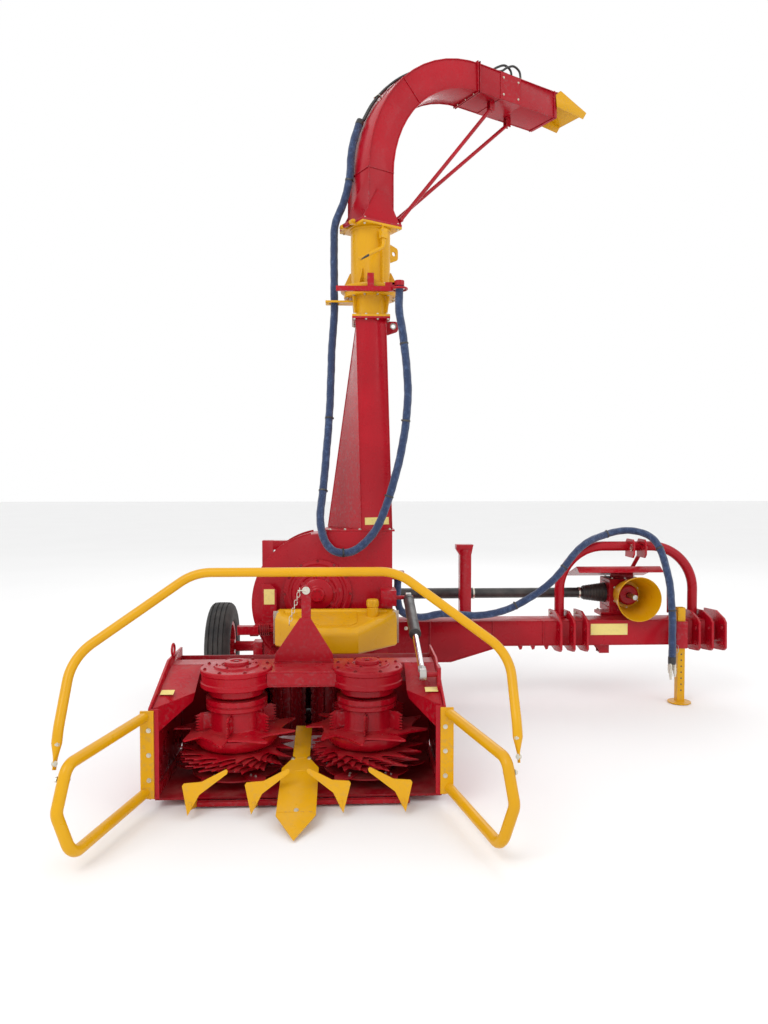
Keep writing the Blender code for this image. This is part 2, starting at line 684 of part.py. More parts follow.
def spout():
    half_w, half_h = DUCT_WIDTH / 2, DUCT_HEIGHT / 2
    base = COLUMN_TOP + FIT
    cage = bmesh.new()
    corners = [cage.verts.new((SLEW_X + x, SLEW_Y + y, base + 0.004))
               for x, y in ((-half_h, -half_w), (half_h, -half_w), (half_h, half_w), (-half_h, half_w))]
    edges = [cage.edges.new((corners[i - 1], corners[i])) for i in range(4)]

    def pull(edges, vector):
        made = bmesh.ops.extrude_edge_only(cage, edges=edges)["geom"]
        moved = [v for v in made if isinstance(v, bmesh.types.BMVert)]
        bmesh.ops.translate(cage, vec=vector, verts=moved)
        return [e for e in made if isinstance(e, bmesh.types.BMEdge)]

    edges = pull(edges, (0, 0, BEND_START - base - 0.004))
    bend = bmesh.ops.spin(cage, geom=edges, cent=(SLEW_X + BEND_RADIUS, SLEW_Y, BEND_START),
                          axis=(0, 1, 0), dvec=(0, 0, 0), angle=math.radians(90), steps=14)
    edges = [e for e in bend["geom_last"] if isinstance(e, bmesh.types.BMEdge)]
    pull(edges, (ARM_END - BEND_RADIUS, 0, 0))
    bmesh.ops.recalc_face_normals(cage, faces=cage.faces)
    mesh = bpy.data.meshes.new("duct")
    cage.to_mesh(mesh)
    cage.free()
    duct = solid("duct", mesh)
    wall = duct.modifiers.new("wall", "SOLIDIFY")
    wall.thickness = DUCT_SHEET
    wall.offset = 0.0
    duct = evaluated(duct)
    bore = (half_h - DUCT_SHEET, half_w - DUCT_SHEET)
    flange = box((SLEW_X - 0.140, SLEW_Y - 0.140, base), (SLEW_X + 0.140, SLEW_Y + 0.140, base + 0.014))
    gussets = [plate([(-0.135, base + 0.010), (0.135, base + 0.010), (0.030, base + 0.200),
                      (-0.030, base + 0.200)], "Y", SLEW_Y + side * 0.124 - 0.004,
                     SLEW_Y + side * 0.124 + 0.004) for side in (-1, 1)]
    for gusset in gussets:
        gusset.location.x = SLEW_X
    flange = minus(flange, box((SLEW_X - bore[0], SLEW_Y - bore[1], base - 0.1),
                               (SLEW_X + bore[0], SLEW_Y + bore[1], base + 0.1)))
    strap = box((FOLD[0] - 0.004, FOLD[1] - 0.032, base + 0.002),
                (SLEW_X - 0.130, FOLD[1] + 0.032, base + 0.012))
    knuckle = rod((FOLD[0], FOLD[1] - 0.032, FOLD[2]), (FOLD[0], FOLD[1] + 0.032, FOLD[2]), 0.014)
    body = union(duct, flange, *[evaluated(g) for g in gussets], strap, knuckle)
    body = minus(body, rod((FOLD[0], FOLD[1] - 0.04, FOLD[2]), (FOLD[0], FOLD[1] + 0.04, FOLD[2]),
                           HINGE_PIN + PIN_FIT))
    roof = ARM_Z + half_h
    anchor = [box((FLAP_ANCHOR[0] - 0.020, SLEW_Y + side * 0.030 - 0.004, roof - 0.003),
                  (FLAP_ANCHOR[0] + 0.020, SLEW_Y + side * 0.030 + 0.004, FLAP_ANCHOR[2] + 0.020))
              for side in (-1, 1)]
    pin = across(FLAP_ANCHOR, 0.030, 0.006)
    ears = [box((SLEW_X + ARM_END - 0.030, SLEW_Y + side * 0.085 - 0.012, roof - 0.003),
                (FLAP_PIN[0] + 0.008, SLEW_Y + side * 0.085 + 0.012, FLAP_PIN[2] + 0.010))
            for side in (-1, 1)]
    hinge = across(FLAP_PIN, 0.112, 0.006)
    finish_node("spout", union(body, *anchor, pin, *ears, hinge), RED, SPOUT)


def spout_stays():
    """Two stay rods between the spout's foot and the underside of its arm."""
    base_z, belly = COLUMN_TOP + 0.075, ARM_Z - DUCT_HEIGHT / 2 - DUCT_SHEET / 2 - FIT
    foot_x = SLEW_X + 0.185
    block = box((SLEW_X + DUCT_HEIGHT / 2 + DUCT_SHEET / 2 + FIT, SLEW_Y - 0.045, COLUMN_TOP + 0.020),
                (foot_x + 0.015, SLEW_Y + 0.045, COLUMN_TOP + 0.090))
    pin = across((foot_x, SLEW_Y, base_z), 0.075, 0.010)
    pieces = [pin]
    for offset, reach in ((-0.060, 0.910), (0.060, 1.160)):
        y = SLEW_Y + offset
        end = (SLEW_X + reach, y, belly - 0.050)
        pieces.append(rod((foot_x, y, base_z), end, 0.013, sides=12))
        pieces.append(box((end[0] - 0.020, y - 0.018, end[2] - 0.016),
                          (end[0] + 0.020, y + 0.018, belly)))
    finish_node("spout_stays", union(block, *pieces), RED, SPOUT)


def flap():
    half = DUCT_WIDTH / 2 + DUCT_SHEET / 2 + RUN
    x, _, z = FLAP_PIN
    tip = (x + FLAP_LENGTH, z - 0.085)
    roof = plate([(x + 0.014, z + 0.002), (x + 0.014, z + 0.008), (tip[0], tip[1] + 0.006), tip],
                 "Y", SLEW_Y - half - 0.004, SLEW_Y + half + 0.004)
    cheeks = [plate([(x + 0.014, z + 0.004), (x - 0.030, z - 0.030), (x - 0.020, z - 0.110),
                     (tip[0] - 0.030, tip[1] - 0.045), (tip[0], tip[1] + 0.002)], "Y",
                    SLEW_Y + side * (half + 0.002) - 0.002, SLEW_Y + side * (half + 0.002) + 0.002)
              for side in (-1, 1)]
    hub = rod((x, SLEW_Y - 0.060, z), (x, SLEW_Y + 0.060, z), 0.013)
    leaf = box((x, SLEW_Y - 0.060, z + 0.001), (x + 0.050, SLEW_Y + 0.060, z + 0.011))
    lugs = [box((FLAP_LUG[0] - 0.012, SLEW_Y + side * 0.018 - 0.003, z + 0.004),
                (FLAP_LUG[0] + 0.012, SLEW_Y + side * 0.018 + 0.003, FLAP_LUG[2] + 0.012))
            for side in (-1, 1)]
    pin = across(FLAP_LUG, 0.018, 0.005)
    body = minus(union(roof, *cheeks, hub, leaf), across(FLAP_PIN, 0.070, 0.006 + PIN_FIT))
    finish_node("flap", union(body, *lugs, pin), YELLOW, FLAP)


def flap_cylinder():
    start, end = Vector(FLAP_ANCHOR), Vector(FLAP_LUG)
    along = (end - start).normalized()
    eye = rod(start - Vector((0, 0.014, 0)), start + Vector((0, 0.014, 0)), 0.016)
    barrel = union(eye, rod(start, start + along * 0.260, 0.018))
    hole = rod(start - Vector((0, 0.03, 0)), start + Vector((0, 0.03, 0)), 0.006 + PIN_FIT, sides=12)
    bore = rod(start + along * 0.040, start + along * 0.30, 0.008 + PIN_FIT)
    finish_node("flap_barrel", minus(barrel, hole, bore), BLACK, FLAP_BARREL)
    finish_node("flap_rod", rod(start + along * 0.110, end - along * 0.020, 0.008), CHROME, FLAP_ROD)


# ---------------------------------------------------------------- beam, hitch and drive
def hitch_plate(x):
    """A lower link plate around the beam, with two holes for the link pin."""
    outline = [(1.555, 0.370), (1.580, 0.350), (1.700, 0.335), (1.870, 0.360), (1.870, 0.590),
               (1.700, 0.600), (1.590, 0.565), (1.560, 0.540)]
    return plate(outline, "X", x - 0.007, x + 0.007,
                 [circle((1.600, z), LINK_HOLE / 2, 12) for z in (0.395, 0.500)])


def main_beam():
    low_y, high_y = BEAM_Y
    side = [(BEAM_START, BEAM_DEEP), (BEAM_TAPER_END - 0.35, BEAM_DEEP), (BEAM_TAPER_END, BEAM_SHALLOW),
            (BEAM_END, BEAM_SHALLOW), (BEAM_END, BEAM_TOP), (BEAM_START, BEAM_TOP)]
    beam = plate(side, "Y", low_y, high_y)
    post = box((0.965, 1.700, BEAM_TOP - 0.01), (1.040, 1.780, 1.020))
    hook = plate([(0.965, 0.98), (1.040, 0.98), (1.055, 1.050), (0.940, 1.050), (0.940, 1.020)], "Y",
                 1.702, 1.778)
    body = union(beam, post, hook)
    for side_sign in (-1, 1):
        for k in (-1, 0, 1):
            x = HITCH_X + side_sign * LINK_SPAN / 2 + k * LINK_PITCH
            if x > BEAM_END + 0.01:
                continue
            body = union(body, hitch_plate(x))
    finish_node("main_beam", body, RED, MACHINE)


def end_lug():
    """The outermost hitch plate, on a stub that closes the beam's end."""
    x = HITCH_X + LINK_SPAN / 2 + LINK_PITCH
    lug = hitch_plate(x)
    stub = box((BEAM_END + FIT, 1.700, 0.400), (x, 1.800, 0.520))
    finish_node("hitch_end_plate", union(lug, stub), RED, MACHINE)


def hitch_arch():
    low = BEAM_TOP + FIT
    y = 1.780
    left = HITCH_X - LINK_SPAN / 2 - LINK_PITCH / 2
    right = HITCH_X + LINK_SPAN / 2 - LINK_PITCH / 2
    path = filleted([(left, y, low), (left, y, ARCH_TOP - ARCH_TUBE),
                     (right, y, ARCH_TOP - ARCH_TUBE), (right, y, low)], 0.300, 8)
    arch = tube(path, 2 * ARCH_TUBE, 3)
    plates = [plate(rounded([(1.640, 0.960), (1.800, 0.960), (1.800, 1.085), (1.640, 1.085)], 0.025),
                    "X", HITCH_X + side * 0.040 - 0.006, HITCH_X + side * 0.040 + 0.006,
                    [circle((1.675, 1.030), 0.0127, 14)]) for side in (-1, 1)]
    finish_node("hitch_arch", union(arch, *plates), RED, MACHINE)


def gearboxes():
    z = PTO_Z + 0.030
    body = box((GEARBOX_X - 0.120, 1.852, z - 0.130), (GEARBOX_X + 0.120, 2.060, z + 0.105))
    neck = rod((GEARBOX_X, 1.800, z), (GEARBOX_X, 1.860, z), 0.070)
    foot = box((GEARBOX_X - 0.180, 1.8403, z - 0.150), (GEARBOX_X + 0.180, 2.000, z - 0.125))
    rest = box((GEARBOX_X - 0.180, BEAM_Y[1] + FIT, BEAM_TOP - 0.065),
               (GEARBOX_X + 0.180, 1.858, z - 0.130))
    body = union(body, neck, foot, rest)
    body = minus(body, rod((GEARBOX_X, 1.700, z), (GEARBOX_X, 1.950, z), 0.0175 + PIN_FIT))
    finish_node("gearbox", body, RED, MACHINE)
    shield = plate([(1.700, 0.862), (1.700, 0.858), (1.760, 0.890), (2.060, 0.797), (2.060, 0.801),
                    (1.760, 0.895)], "X", GEARBOX_X - 0.38, GEARBOX_X + 0.20)
    legs = box((GEARBOX_X - 0.080, 1.940, z + 0.105 + FIT), (GEARBOX_X + 0.080, 1.960, 0.832))
    finish_node("gearbox_shield", union(shield, legs), RED, MACHINE)
    low, high = CONE_Y
    cone = [(0.145, low), (0.149, low), (0.095, high), (0.0714, high), (0.0714, high - 0.004),
            (0.091, high - 0.004)]
    finish_node("pto_cone", turned(cone, (GEARBOX_X, 0, z), "Y", 24), YELLOW, MACHINE)
    shaft = rod((GEARBOX_X, 1.680, z), (GEARBOX_X, 1.930, z), 0.0175)
    finish_node("pto_shaft", shaft, STEEL, PTO)
    cx = HOUSING_CENTRE[0]
    rear = box((cx - 0.120, 1.860, z - 0.110), (cx + 0.130, 2.050, z + 0.120))
    neck = rod((cx, HOUSING_BACK + FIT, z + 0.02), (cx, 1.870, z + 0.02), 0.075)
    finish_node("chopper_gearbox", union(rear, neck), RED, MACHINE)
    left, right = cx + 0.130 + FIT, GEARBOX_X - 0.120 - FIT
    guard = rod((left, 1.955, z), (right, 1.955, z), 0.038)
    bells = [rod((left, 1.955, z), (left + 0.16, 1.955, z), 0.070, 0.045),
             rod((right - 0.16, 1.955, z), (right, 1.955, z), 0.045, 0.070)]
    finish_node("drive_shaft", union(guard, *bells), BLACK, MACHINE)


def back_frame():
    y = (1.660, 1.730)
    left, right = -0.345, BEAM_START - FIT
    post = box((left, y[0], 0.280), (left + 0.070, y[1], 1.085))
    top = box((left + 0.001, y[0] + 0.001, 1.025), (0.420, y[1] - 0.001, 1.084))
    low = box((left + 0.001, y[0] + 0.001, 0.285), (right, y[1] - 0.001, 0.355))
    mate = box((0.360, y[0] + 0.002, 0.290), (right, y[1] - 0.002, 1.080))
    blocks = [box((x, HOUSING_BACK + FIT, z), (x + 0.050, y[0] + 0.010, z + 0.050))
              for x, z in ((-0.330, 0.700), (0.400, 0.700))]
    arms = [box((-0.346, 1.670, 0.700), (-0.270, 1.720, 0.750))]
    finish_node("back_frame", union(post, top, low, mate, *blocks, *arms), RED, MACHINE)


def wheel_arm():
    x = -0.3453
    shoe = box((x - 0.060, 1.640, 0.280), (x - FIT, 1.750, 0.420))
    arm = box((x - 0.058, 1.740, 0.285), (x - 0.012, WHEEL_Y + 0.060, 0.345))
    axle = rod((x - 0.03, WHEEL_Y, TYRE_RADIUS), (WHEEL_X - 0.115, WHEEL_Y, TYRE_RADIUS), AXLE_RADIUS)
    collar = rod((x - 0.05, WHEEL_Y, TYRE_RADIUS), (WHEEL_X + 0.092, WHEEL_Y, TYRE_RADIUS), 0.036)
    nut = rod((WHEEL_X - 0.106, WHEEL_Y, TYRE_RADIUS), (WHEEL_X - 0.125, WHEEL_Y, TYRE_RADIUS), 0.038)
    finish_node("wheel_arm", union(shoe, arm, axle, collar, nut), RED, MACHINE)


def wheel():
    middle = (WHEEL_X, WHEEL_Y, TYRE_RADIUS)
    half = TYRE_WIDTH / 2
    r, bead = TYRE_RADIUS, RIM_RADIUS + FIT
    flank = [(bead, 0.72), (bead + 0.020, 0.95), (bead + 0.065, 1.0), (r - 0.040, 0.96),
             (r - 0.012, 0.76), (r, 0.40)]
    profile = [*[(reach, -half * share) for reach, share in flank],
               *[(reach, half * share) for reach, share in reversed(flank)]]
    finish_node("tyre", turned(profile, middle, "X", 28), TYRE, WHEEL)
    rim = RIM_RADIUS
    hub = AXLE_RADIUS + PIN_FIT
    profile = [(hub, -0.100), (0.050, -0.100), (0.050, -0.030), (rim - 0.030, -0.020),
               (rim - 0.022, -half * 0.80), (rim, -half * 0.80), (rim, half * 0.80),
               (rim - 0.022, half * 0.80), (rim - 0.030, 0.010),
               (0.055, 0.020), (0.050, 0.086), (hub, 0.086)]
    finish_node("rim", turned(profile, middle, "X", 28), RED, WHEEL)


def stand():
    socket = box((STAND_X - 0.036, STAND_Y - 0.036, 0.370), (STAND_X + 0.036, BEAM_Y[0] - FIT, 0.550))
    half = STAND_TUBE / 2
    gap = half + 0.002
    socket = minus(socket, box((STAND_X - gap, STAND_Y - gap, 0.3), (STAND_X + gap, STAND_Y + gap, 0.6)))
    finish_node("stand_socket", socket, RED, MACHINE)
    leg = box((STAND_X - half, STAND_Y - half, 0.006), (STAND_X + half, STAND_Y + half, 0.640))
    foot = rod((STAND_X, STAND_Y, 0.0), (STAND_X, STAND_Y, 0.012), 0.075, sides=24)
    finish_node("stand_leg", union(leg, foot), YELLOW, STAND)


# ---------------------------------------------------------------- header
def header_walls():
    inner = HEADER_WIDTH / 2
    outline = [(0.0, WALL_BASE), (0.560, WALL_BASE), (0.660, 0.120), (0.660, WALL_REAR),
               (0.360, WALL_REAR), (0.0, WALL_FRONT)]
    for side, sign in SIDES.items():
        low, high = sorted((sign * inner, sign * (inner + WALL)))
        wall = plate(outline, "X", low, high)
        edge = sorted((sign * (inner - 0.035), sign * (inner + 0.004)))
        lip = box((edge[0], 0.001, WALL_BASE + 0.001), (edge[1], 0.009, WALL_FRONT - 0.004))
        wall = union(wall, lip)
        if side == "left":
            loop = circle((0.470, WALL_REAR + 0.026), 0.030, 16)
            eye = tube([(-inner - WALL / 2, y, z) for y, z in loop], 0.012, 1, cyclic=True)
            wall = union(wall, eye)
        else:
            boss = box((inner - 0.012, 0.140, 0.440), (inner + 0.004, 0.220, 0.600))
            pin = rod((inner - 0.100, *LIFT_EYE[1:]), (inner, *LIFT_EYE[1:]), 0.012)
            wall = union(wall, boss, pin)
        finish_node(f"header_wall_{side}", wall, RED, HEADER)


def header_pan():
    half = HEADER_WIDTH / 2 - FIT
    back = HEADER_DEPTH
    floor = box((-half, 0.062, PAN_Z - 0.010), (half, back + 0.020, PAN_Z))
    wall = box((-half, back - 0.010, PAN_Z - 0.005), (half, back, 0.560))
    wall = minus(wall, box((-0.235, back - 0.1, PAN_Z + 0.020), (0.235, back + 0.1, 0.500)))
    body = union(floor, wall)
    for sign in (-1, 1):
        near, far = FEED_HALF_WIDTH + RUN, FEED_HALF_WIDTH + RUN + 0.014
        ear = plate([(back - 0.005, 0.200), (0.890, 0.370), (0.905, 0.455), (0.770, 0.465),
                     (back - 0.005, 0.540)], "X", *sorted((sign * near, sign * far)),
                    [circle(HEADER_PIVOT[1:], 0.020 + PIN_FIT, 20)])
        skid = plate([(0.085, 0.022), (0.130, 0.0), (0.640, 0.0), (0.640, 0.034), (0.085, 0.034)], "X",
                     *sorted((sign * 0.420, sign * 0.500)))
        body = union(body, ear, skid)
    finish_node("header_pan", body, RED, HEADER)


def header_gearbox():
    half = HEADER_WIDTH / 2 - FIT
    beam = box((-half, 0.410, GEARBOX_LOW), (half, 0.520, GEARBOX_HIGH))
    pieces = []
    for x in DRUM_AXES.values():
        for radius, low, high in ((0.172, 0.486, 0.578), (0.130, 0.444, 0.500), (0.110, 0.560, 0.590),
                                  (0.060, 0.580, 0.606)):
            pieces.append(rod((x, DRUM_Y, low), (x, DRUM_Y, high), radius, sides=24))
    bridge = box((-0.315, 0.240, 0.490), (0.315, 0.380, 0.566))
    body = union(beam, bridge, *pieces)
    for x in DRUM_AXES.values():
        body = minus(body, rod((x, DRUM_Y, 0.400), (x, DRUM_Y, 0.476), 0.030 + PIN_FIT))
    finish_node("header_gearbox", body, RED, HEADER)


def sign_plate():
    low = GEARBOX_HIGH + FIT
    board = plate([(-0.150, low), (0.150, low), (0.140, 0.650), (0.060, 0.745), (0.020, 0.790),
                   (-0.050, 0.700), (-0.135, 0.640)], "Y", 0.430, 0.436)
    post = box((-0.012, 0.434, low), (0.034, 0.470, 0.940))
    head = rod((0.011, 0.438, 0.925), (0.011, 0.466, 0.925), 0.030)
    finish_node("sign_plate", union(board, post, head), RED, HEADER)


def drum(side):
    x = DRUM_AXES[side]
    middle = (x, DRUM_Y)
    profile = [(0, 0.112), (0.150, 0.112), (0.150, 0.240), (0.205, 0.262), (0.205, 0.270),
               (DRUM_RADIUS, 0.294), (DRUM_RADIUS, 0.384), (0.146, 0.388), (0.146, 0.438), (0, 0.438)]
    body = turned(profile, (x, DRUM_Y, 0), "Z", 20)
    star_teeth = toothed(middle, 9, 0.225, STAR_RADIUS, 0.62, 0.14)
    star = plate(star_teeth, "Z", STAR_Z - 0.005, STAR_Z + 0.004)
    body = union(body, star)
    for k, z in enumerate(STACK_Z):
        radius = STACK_RADIUS - 0.004 * k
        teeth = toothed(middle, 12, radius - 0.026, radius)
        body = union(body, plate(teeth, "Z", z - 0.003, z + 0.003))
    for k in range(4):
        strip = box((DRUM_RADIUS - 0.010, -0.004, 0.286), (0.200, 0.004, 0.376))
        turn = Matrix.Rotation(math.radians(90 * k + 25), 4, "Z")
        strip.matrix_world = Matrix.Translation((x, DRUM_Y, 0)) @ turn
        body = union(body, evaluated(strip))
    shaft = rod((x, DRUM_Y, 0.430), (x, DRUM_Y, 0.468), 0.030)
    finish_node(f"drum_{side}", union(body, shaft), RED, DRUMS[side])


def knife_disc(side):
    x = DRUM_AXES[side]
    blades = toothed((x, DRUM_Y), 6, 0.225, KNIFE_RADIUS, 0.50, 0.16)
    disc = plate(blades, "Z", KNIFE_Z - 0.004, KNIFE_Z + 0.004)
    hub = rod((x, DRUM_Y, PAN_Z + RUN), (x, DRUM_Y, KNIFE_Z + 0.012), 0.080, sides=28)
    finish_node(f"knife_disc_{side}", union(disc, hub), RED, KNIVES[side])


def dividers():
    """Four pointed fingers with a crop arm each, on one bar under the pan."""
    def finger(tip_x, lean):
        outline = [(tip_x, 0.022), (tip_x + lean * 0.045, 0.100), (tip_x + lean * 0.160, 0.176),
                   (tip_x + lean * 0.160, 0.196), (tip_x + lean * 0.050, 0.148),
                   (tip_x - lean * 0.032, 0.142)]
        blade = plate(outline, "Y", -0.004, 0.004)
        slope = Matrix.Identity(4)
        slope[1][2] = 0.45
        blade.data.transform(slope)
        blade.data.transform(Matrix.Translation((0, -0.100, 0)))
        stem_x = tip_x + lean * 0.010
        stem = oblong((stem_x, -0.080, 0.060), (stem_x, 0.048, 0.020), 0.030, 0.012)
        return union(blade, stem)

    bar = box((-0.500, 0.028, 0.010), (0.500, 0.058, PAN_Z - 0.010 - FIT))
    fingers = [finger(-0.473, 1), finger(-0.200, 1), finger(0.200, -1), finger(0.473, -1)]
    body = union(bar, *fingers)
    finish_node("dividers", body, YELLOW, HEADER)


def centre_plate():
    tail = 0.040
    outline = [(-tail, 0.440), (-tail, 0.190), (-0.085, 0.120), (-0.085, -0.180), (0.0, -0.320),
               (0.085, -0.180), (0.085, 0.120), (tail, 0.190), (tail, 0.440)]
    sheet = plate(outline, "Z", -0.003, 0.003)
    slope = Matrix.Identity(4)
    slope[2][1] = 0.30
    sheet.data.transform(slope)
    sheet.data.transform(Matrix.Translation((0, 0, 0.108)))
    strut = box((-0.020, 0.100, PAN_Z + FIT), (0.020, 0.130, 0.143))
    finish_node("centre_plate", union(sheet, strut), YELLOW, HEADER)


def guard_rails():
    wall = HEADER_WIDTH / 2
    for side, sign in SIDES.items():
        path = filleted([(sign * (wall + 0.026), -0.006, 0.430), (sign * (wall + 0.182), -0.500, 0.400),
                         (sign * (wall + 0.202), -0.560, 0.240), (sign * (wall + 0.155), -0.540, 0.075),
                         (sign * (wall + 0.026), -0.006, 0.090)], 0.060, 5)
        loop = tube(path, 0.046, 2)
        edge = sorted((sign * (wall - 0.016), sign * (wall + 0.044)))
        strip = box((edge[0], -0.0123, 0.066), (edge[1], -FIT, 0.458))
        finish_node(f"side_rail_{side}", union(loop, strip), YELLOW, HEADER)
    half = [(HOOP_FOOT, -0.492, 0.380), (HOOP_FOOT, -0.440, 0.520), (HOOP_FOOT, -0.290, 0.760),
            (0.430, -0.110, 1.080)]
    path = filleted([*mirrored(half), *reversed(half)], 0.110, 6)
    hoop = tube(path, 0.040, 2)
    tongue = (HOOP_FOOT - 0.0056, HOOP_FOOT + 0.004)
    for sign in SIDES.values():
        for near, far in ((tongue[0] - 0.040, tongue[0]), (tongue[1], tongue[1] + 0.040)):
            x_range = sorted((sign * near, sign * far))
            hoop = minus(hoop, box((x_range[0], -0.60, 0.30), (x_range[1], -0.40, 0.46)))
    finish_node("front_hoop", hoop, YELLOW, HEADER)


def lift_cylinder():
    start, end = Vector(CYLINDER_LIFT), Vector(LIFT_EYE)
    start.x = end.x = 0.572
    along = (end - start).normalized()
    across = Vector((0.016, 0, 0))
    eye = rod(start - across, start + across, 0.028)
    barrel = union(eye, rod(start, start + along * 0.500, 0.032))
    hole = rod(start - 2 * across, start + 2 * across, 0.012 + PIN_FIT)
    bore = rod(start + along * 0.060, start + along * 0.60, 0.016 + PIN_FIT)
    finish_node("lift_barrel", minus(barrel, hole, bore), BLACK, LIFT_BARREL)
    eye = rod(end - across, end + across, 0.028)
    piston = union(eye, rod(start + along * 0.160, end, 0.016))
    piston = minus(piston, rod(end - 2 * across, end + 2 * across, 0.016))
    finish_node("lift_rod", piston, CHROME, LIFT_ROD)


# ---------------------------------------------------------------- hoses
def hose(name, points, diameter, parent, look=SLEEVE, resolution=2):
    spacing = max(2.6 * diameter, 0.090)
    body = tube(smooth_route(points, spacing), diameter, resolution)
    finish_node(name, body, look, parent)
    CORDS.append(name)


def over_bend(angle, y, lift):
    """A place outside the spout's bend, at an angle from its lower end."""
    reach = BEND_RADIUS + DUCT_HEIGHT / 2 + lift
    turn = math.radians(angle)
    return (SLEW_X + BEND_RADIUS - reach * math.cos(turn), SLEW_Y + y,
            BEND_START + reach * math.sin(turn))


def hoses():
    """The sleeved hydraulic bundle: beam, tower and spout, and two bare hoses on the arm."""
    hose("hose_supply", [(2.330, 1.500, 0.330), (2.330, 1.500, 0.420), (2.330, 1.510, 0.620),
                         (2.320, 1.560, 0.860), (2.272, 1.660, 1.075), (2.155, 1.780, 1.137),
                         (1.980, 1.780, 1.112), (1.780, 1.700, 1.030), (1.560, 1.640, 0.800),
                         (1.300, 1.625, 0.640), (1.080, 1.620, 0.590), (0.850, 1.610, 0.605),
                         (0.690, 1.570, 0.590), (0.570, 1.515, 0.630), (0.535, 1.500, 0.715),
                         (0.535, 1.500, 0.8497)],
         HOSE, MACHINE)
    x, y = LEDGE_HOLE
    hose("hose_loop", [(0.525, 1.200, 2.628), (0.525, 1.200, 2.480), (0.552, 1.192, 2.300),
                       (0.575, 1.180, 2.000), (0.545, 1.175, 1.700), (0.470, 1.170, 1.400),
                       (0.380, 1.165, 1.180), (0.250, 1.155, 1.060), (0.120, 1.150, 1.070),
                       (0.055, 1.190, 1.220), (0.075, 1.300, 1.500), (0.105, 1.380, 1.900),
                       (0.120, 1.420, 2.300), (x, y, 2.500), (x, y, 2.640)], HOSE, MACHINE)
    side = unslewed((x, y, 0)) - Vector((SLEW_X, SLEW_Y, 0))
    bend = [over_bend(angle, 0.055, 0.031) for angle in (0, 8, 16, 24)]
    hose("hose_spout", [(SLEW_X + side.x, SLEW_Y + side.y, 2.640 + FIT),
                        (SLEW_X + side.x, SLEW_Y + side.y, 2.80),
                        (SLEW_X - 0.195, SLEW_Y + 0.112, 2.950), (SLEW_X - 0.190, SLEW_Y + 0.105, 3.060),
                        (SLEW_X - 0.145, SLEW_Y + 0.080, 3.190), *bend], HOSE, SPOUT)
    roof = ARM_Z + DUCT_HEIGHT / 2
    for name, spread in (("hose_flap_left", 0.030), ("hose_flap_right", -0.030)):
        arc = [over_bend(angle, 0.055 + spread * 0.4, 0.016)
               for angle in (24.6, 35, 46, 57, 68, 79, 90)]
        hose(name, [*arc, (SLEW_X + 0.860, SLEW_Y + spread, roof + 0.060),
                    (SLEW_X + 0.960, SLEW_Y + spread * 0.7, roof + 0.110 - spread),
                    (SLEW_X + 1.090, SLEW_Y + spread * 0.5, roof + 0.110 - spread),
                    (FLAP_ANCHOR[0] + 0.130 - spread, SLEW_Y + spread * 0.4, FLAP_ANCHOR[2] + 0.100),
                    (FLAP_ANCHOR[0] + 0.130 - spread, SLEW_Y + spread * 0.4, FLAP_ANCHOR[2] + 0.028)],
             THIN_HOSE, SPOUT, BLACK)
    clamp = box((0.4853, 1.460, 0.850), (0.575, 1.540, 0.900))
    finish_node("hose_clamp", clamp, RED, MACHINE)
    collar = rod((2.330, 1.500, 0.280), (2.330, 1.500, 0.3297), 0.026)
    places = ((-0.014, -0.014), (0.014, -0.012), (-0.012, 0.014), (0.014, 0.014))
    ends = [rod((2.330 + dx, 1.500 + dy, 0.170 + 0.02 * k), (2.330 + dx, 1.500 + dy, 0.290), 0.0105,
                sides=10) for k, (dx, dy) in enumerate(places)]
    finish_node("hose_couplers", union(collar, *ends), STEEL, MACHINE)
    CORDS.append("hose_couplers")


def build():
    chopper_housing()
    housing_cover()
    flywheel()
    feed_box()
    for side in SIDES:
        feed_roller(side)
    tank()
    tower()
    turret_base()
    turret_column()
    latch_lever()
    hose_guide()
    spout()
    spout_stays()
    flap()
    flap_cylinder()
    main_beam()
    end_lug()
    hitch_arch()
    gearboxes()
    back_frame()
    wheel_arm()
    wheel()
    stand()
    header_walls()
    header_pan()
    header_gearbox()
    sign_plate()
    for side in SIDES:
        drum(side)
        knife_disc(side)
    dividers()
    centre_plate()
    guard_rails()
    lift_cylinder()
    hoses()
    TURRET.rotation_euler.z = math.radians(SPOUT_HEADING)
    bpy.context.view_layer.update()


def centre_on_ground():
    """Moves the machine so that the origin is below the middle of its own box."""
    spots = [obj.matrix_world @ vert.co for obj in NODES if obj.name not in CORDS
             for vert in obj.data.vertices]
    low = [min(spot[i] for spot in spots) for i in range(3)]
    high = [max(spot[i] for spot in spots) for i in range(3)]
    MACHINE.location = (-(low[0] + high[0]) / 2, -(low[1] + high[1]) / 2, -low[2])
    bpy.context.view_layer.update()


build()
centre_on_ground()
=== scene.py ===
"""Looks of the forage harvester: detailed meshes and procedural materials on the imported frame."""
import math

import bmesh
import bpy
from mathutils import Matrix, Vector


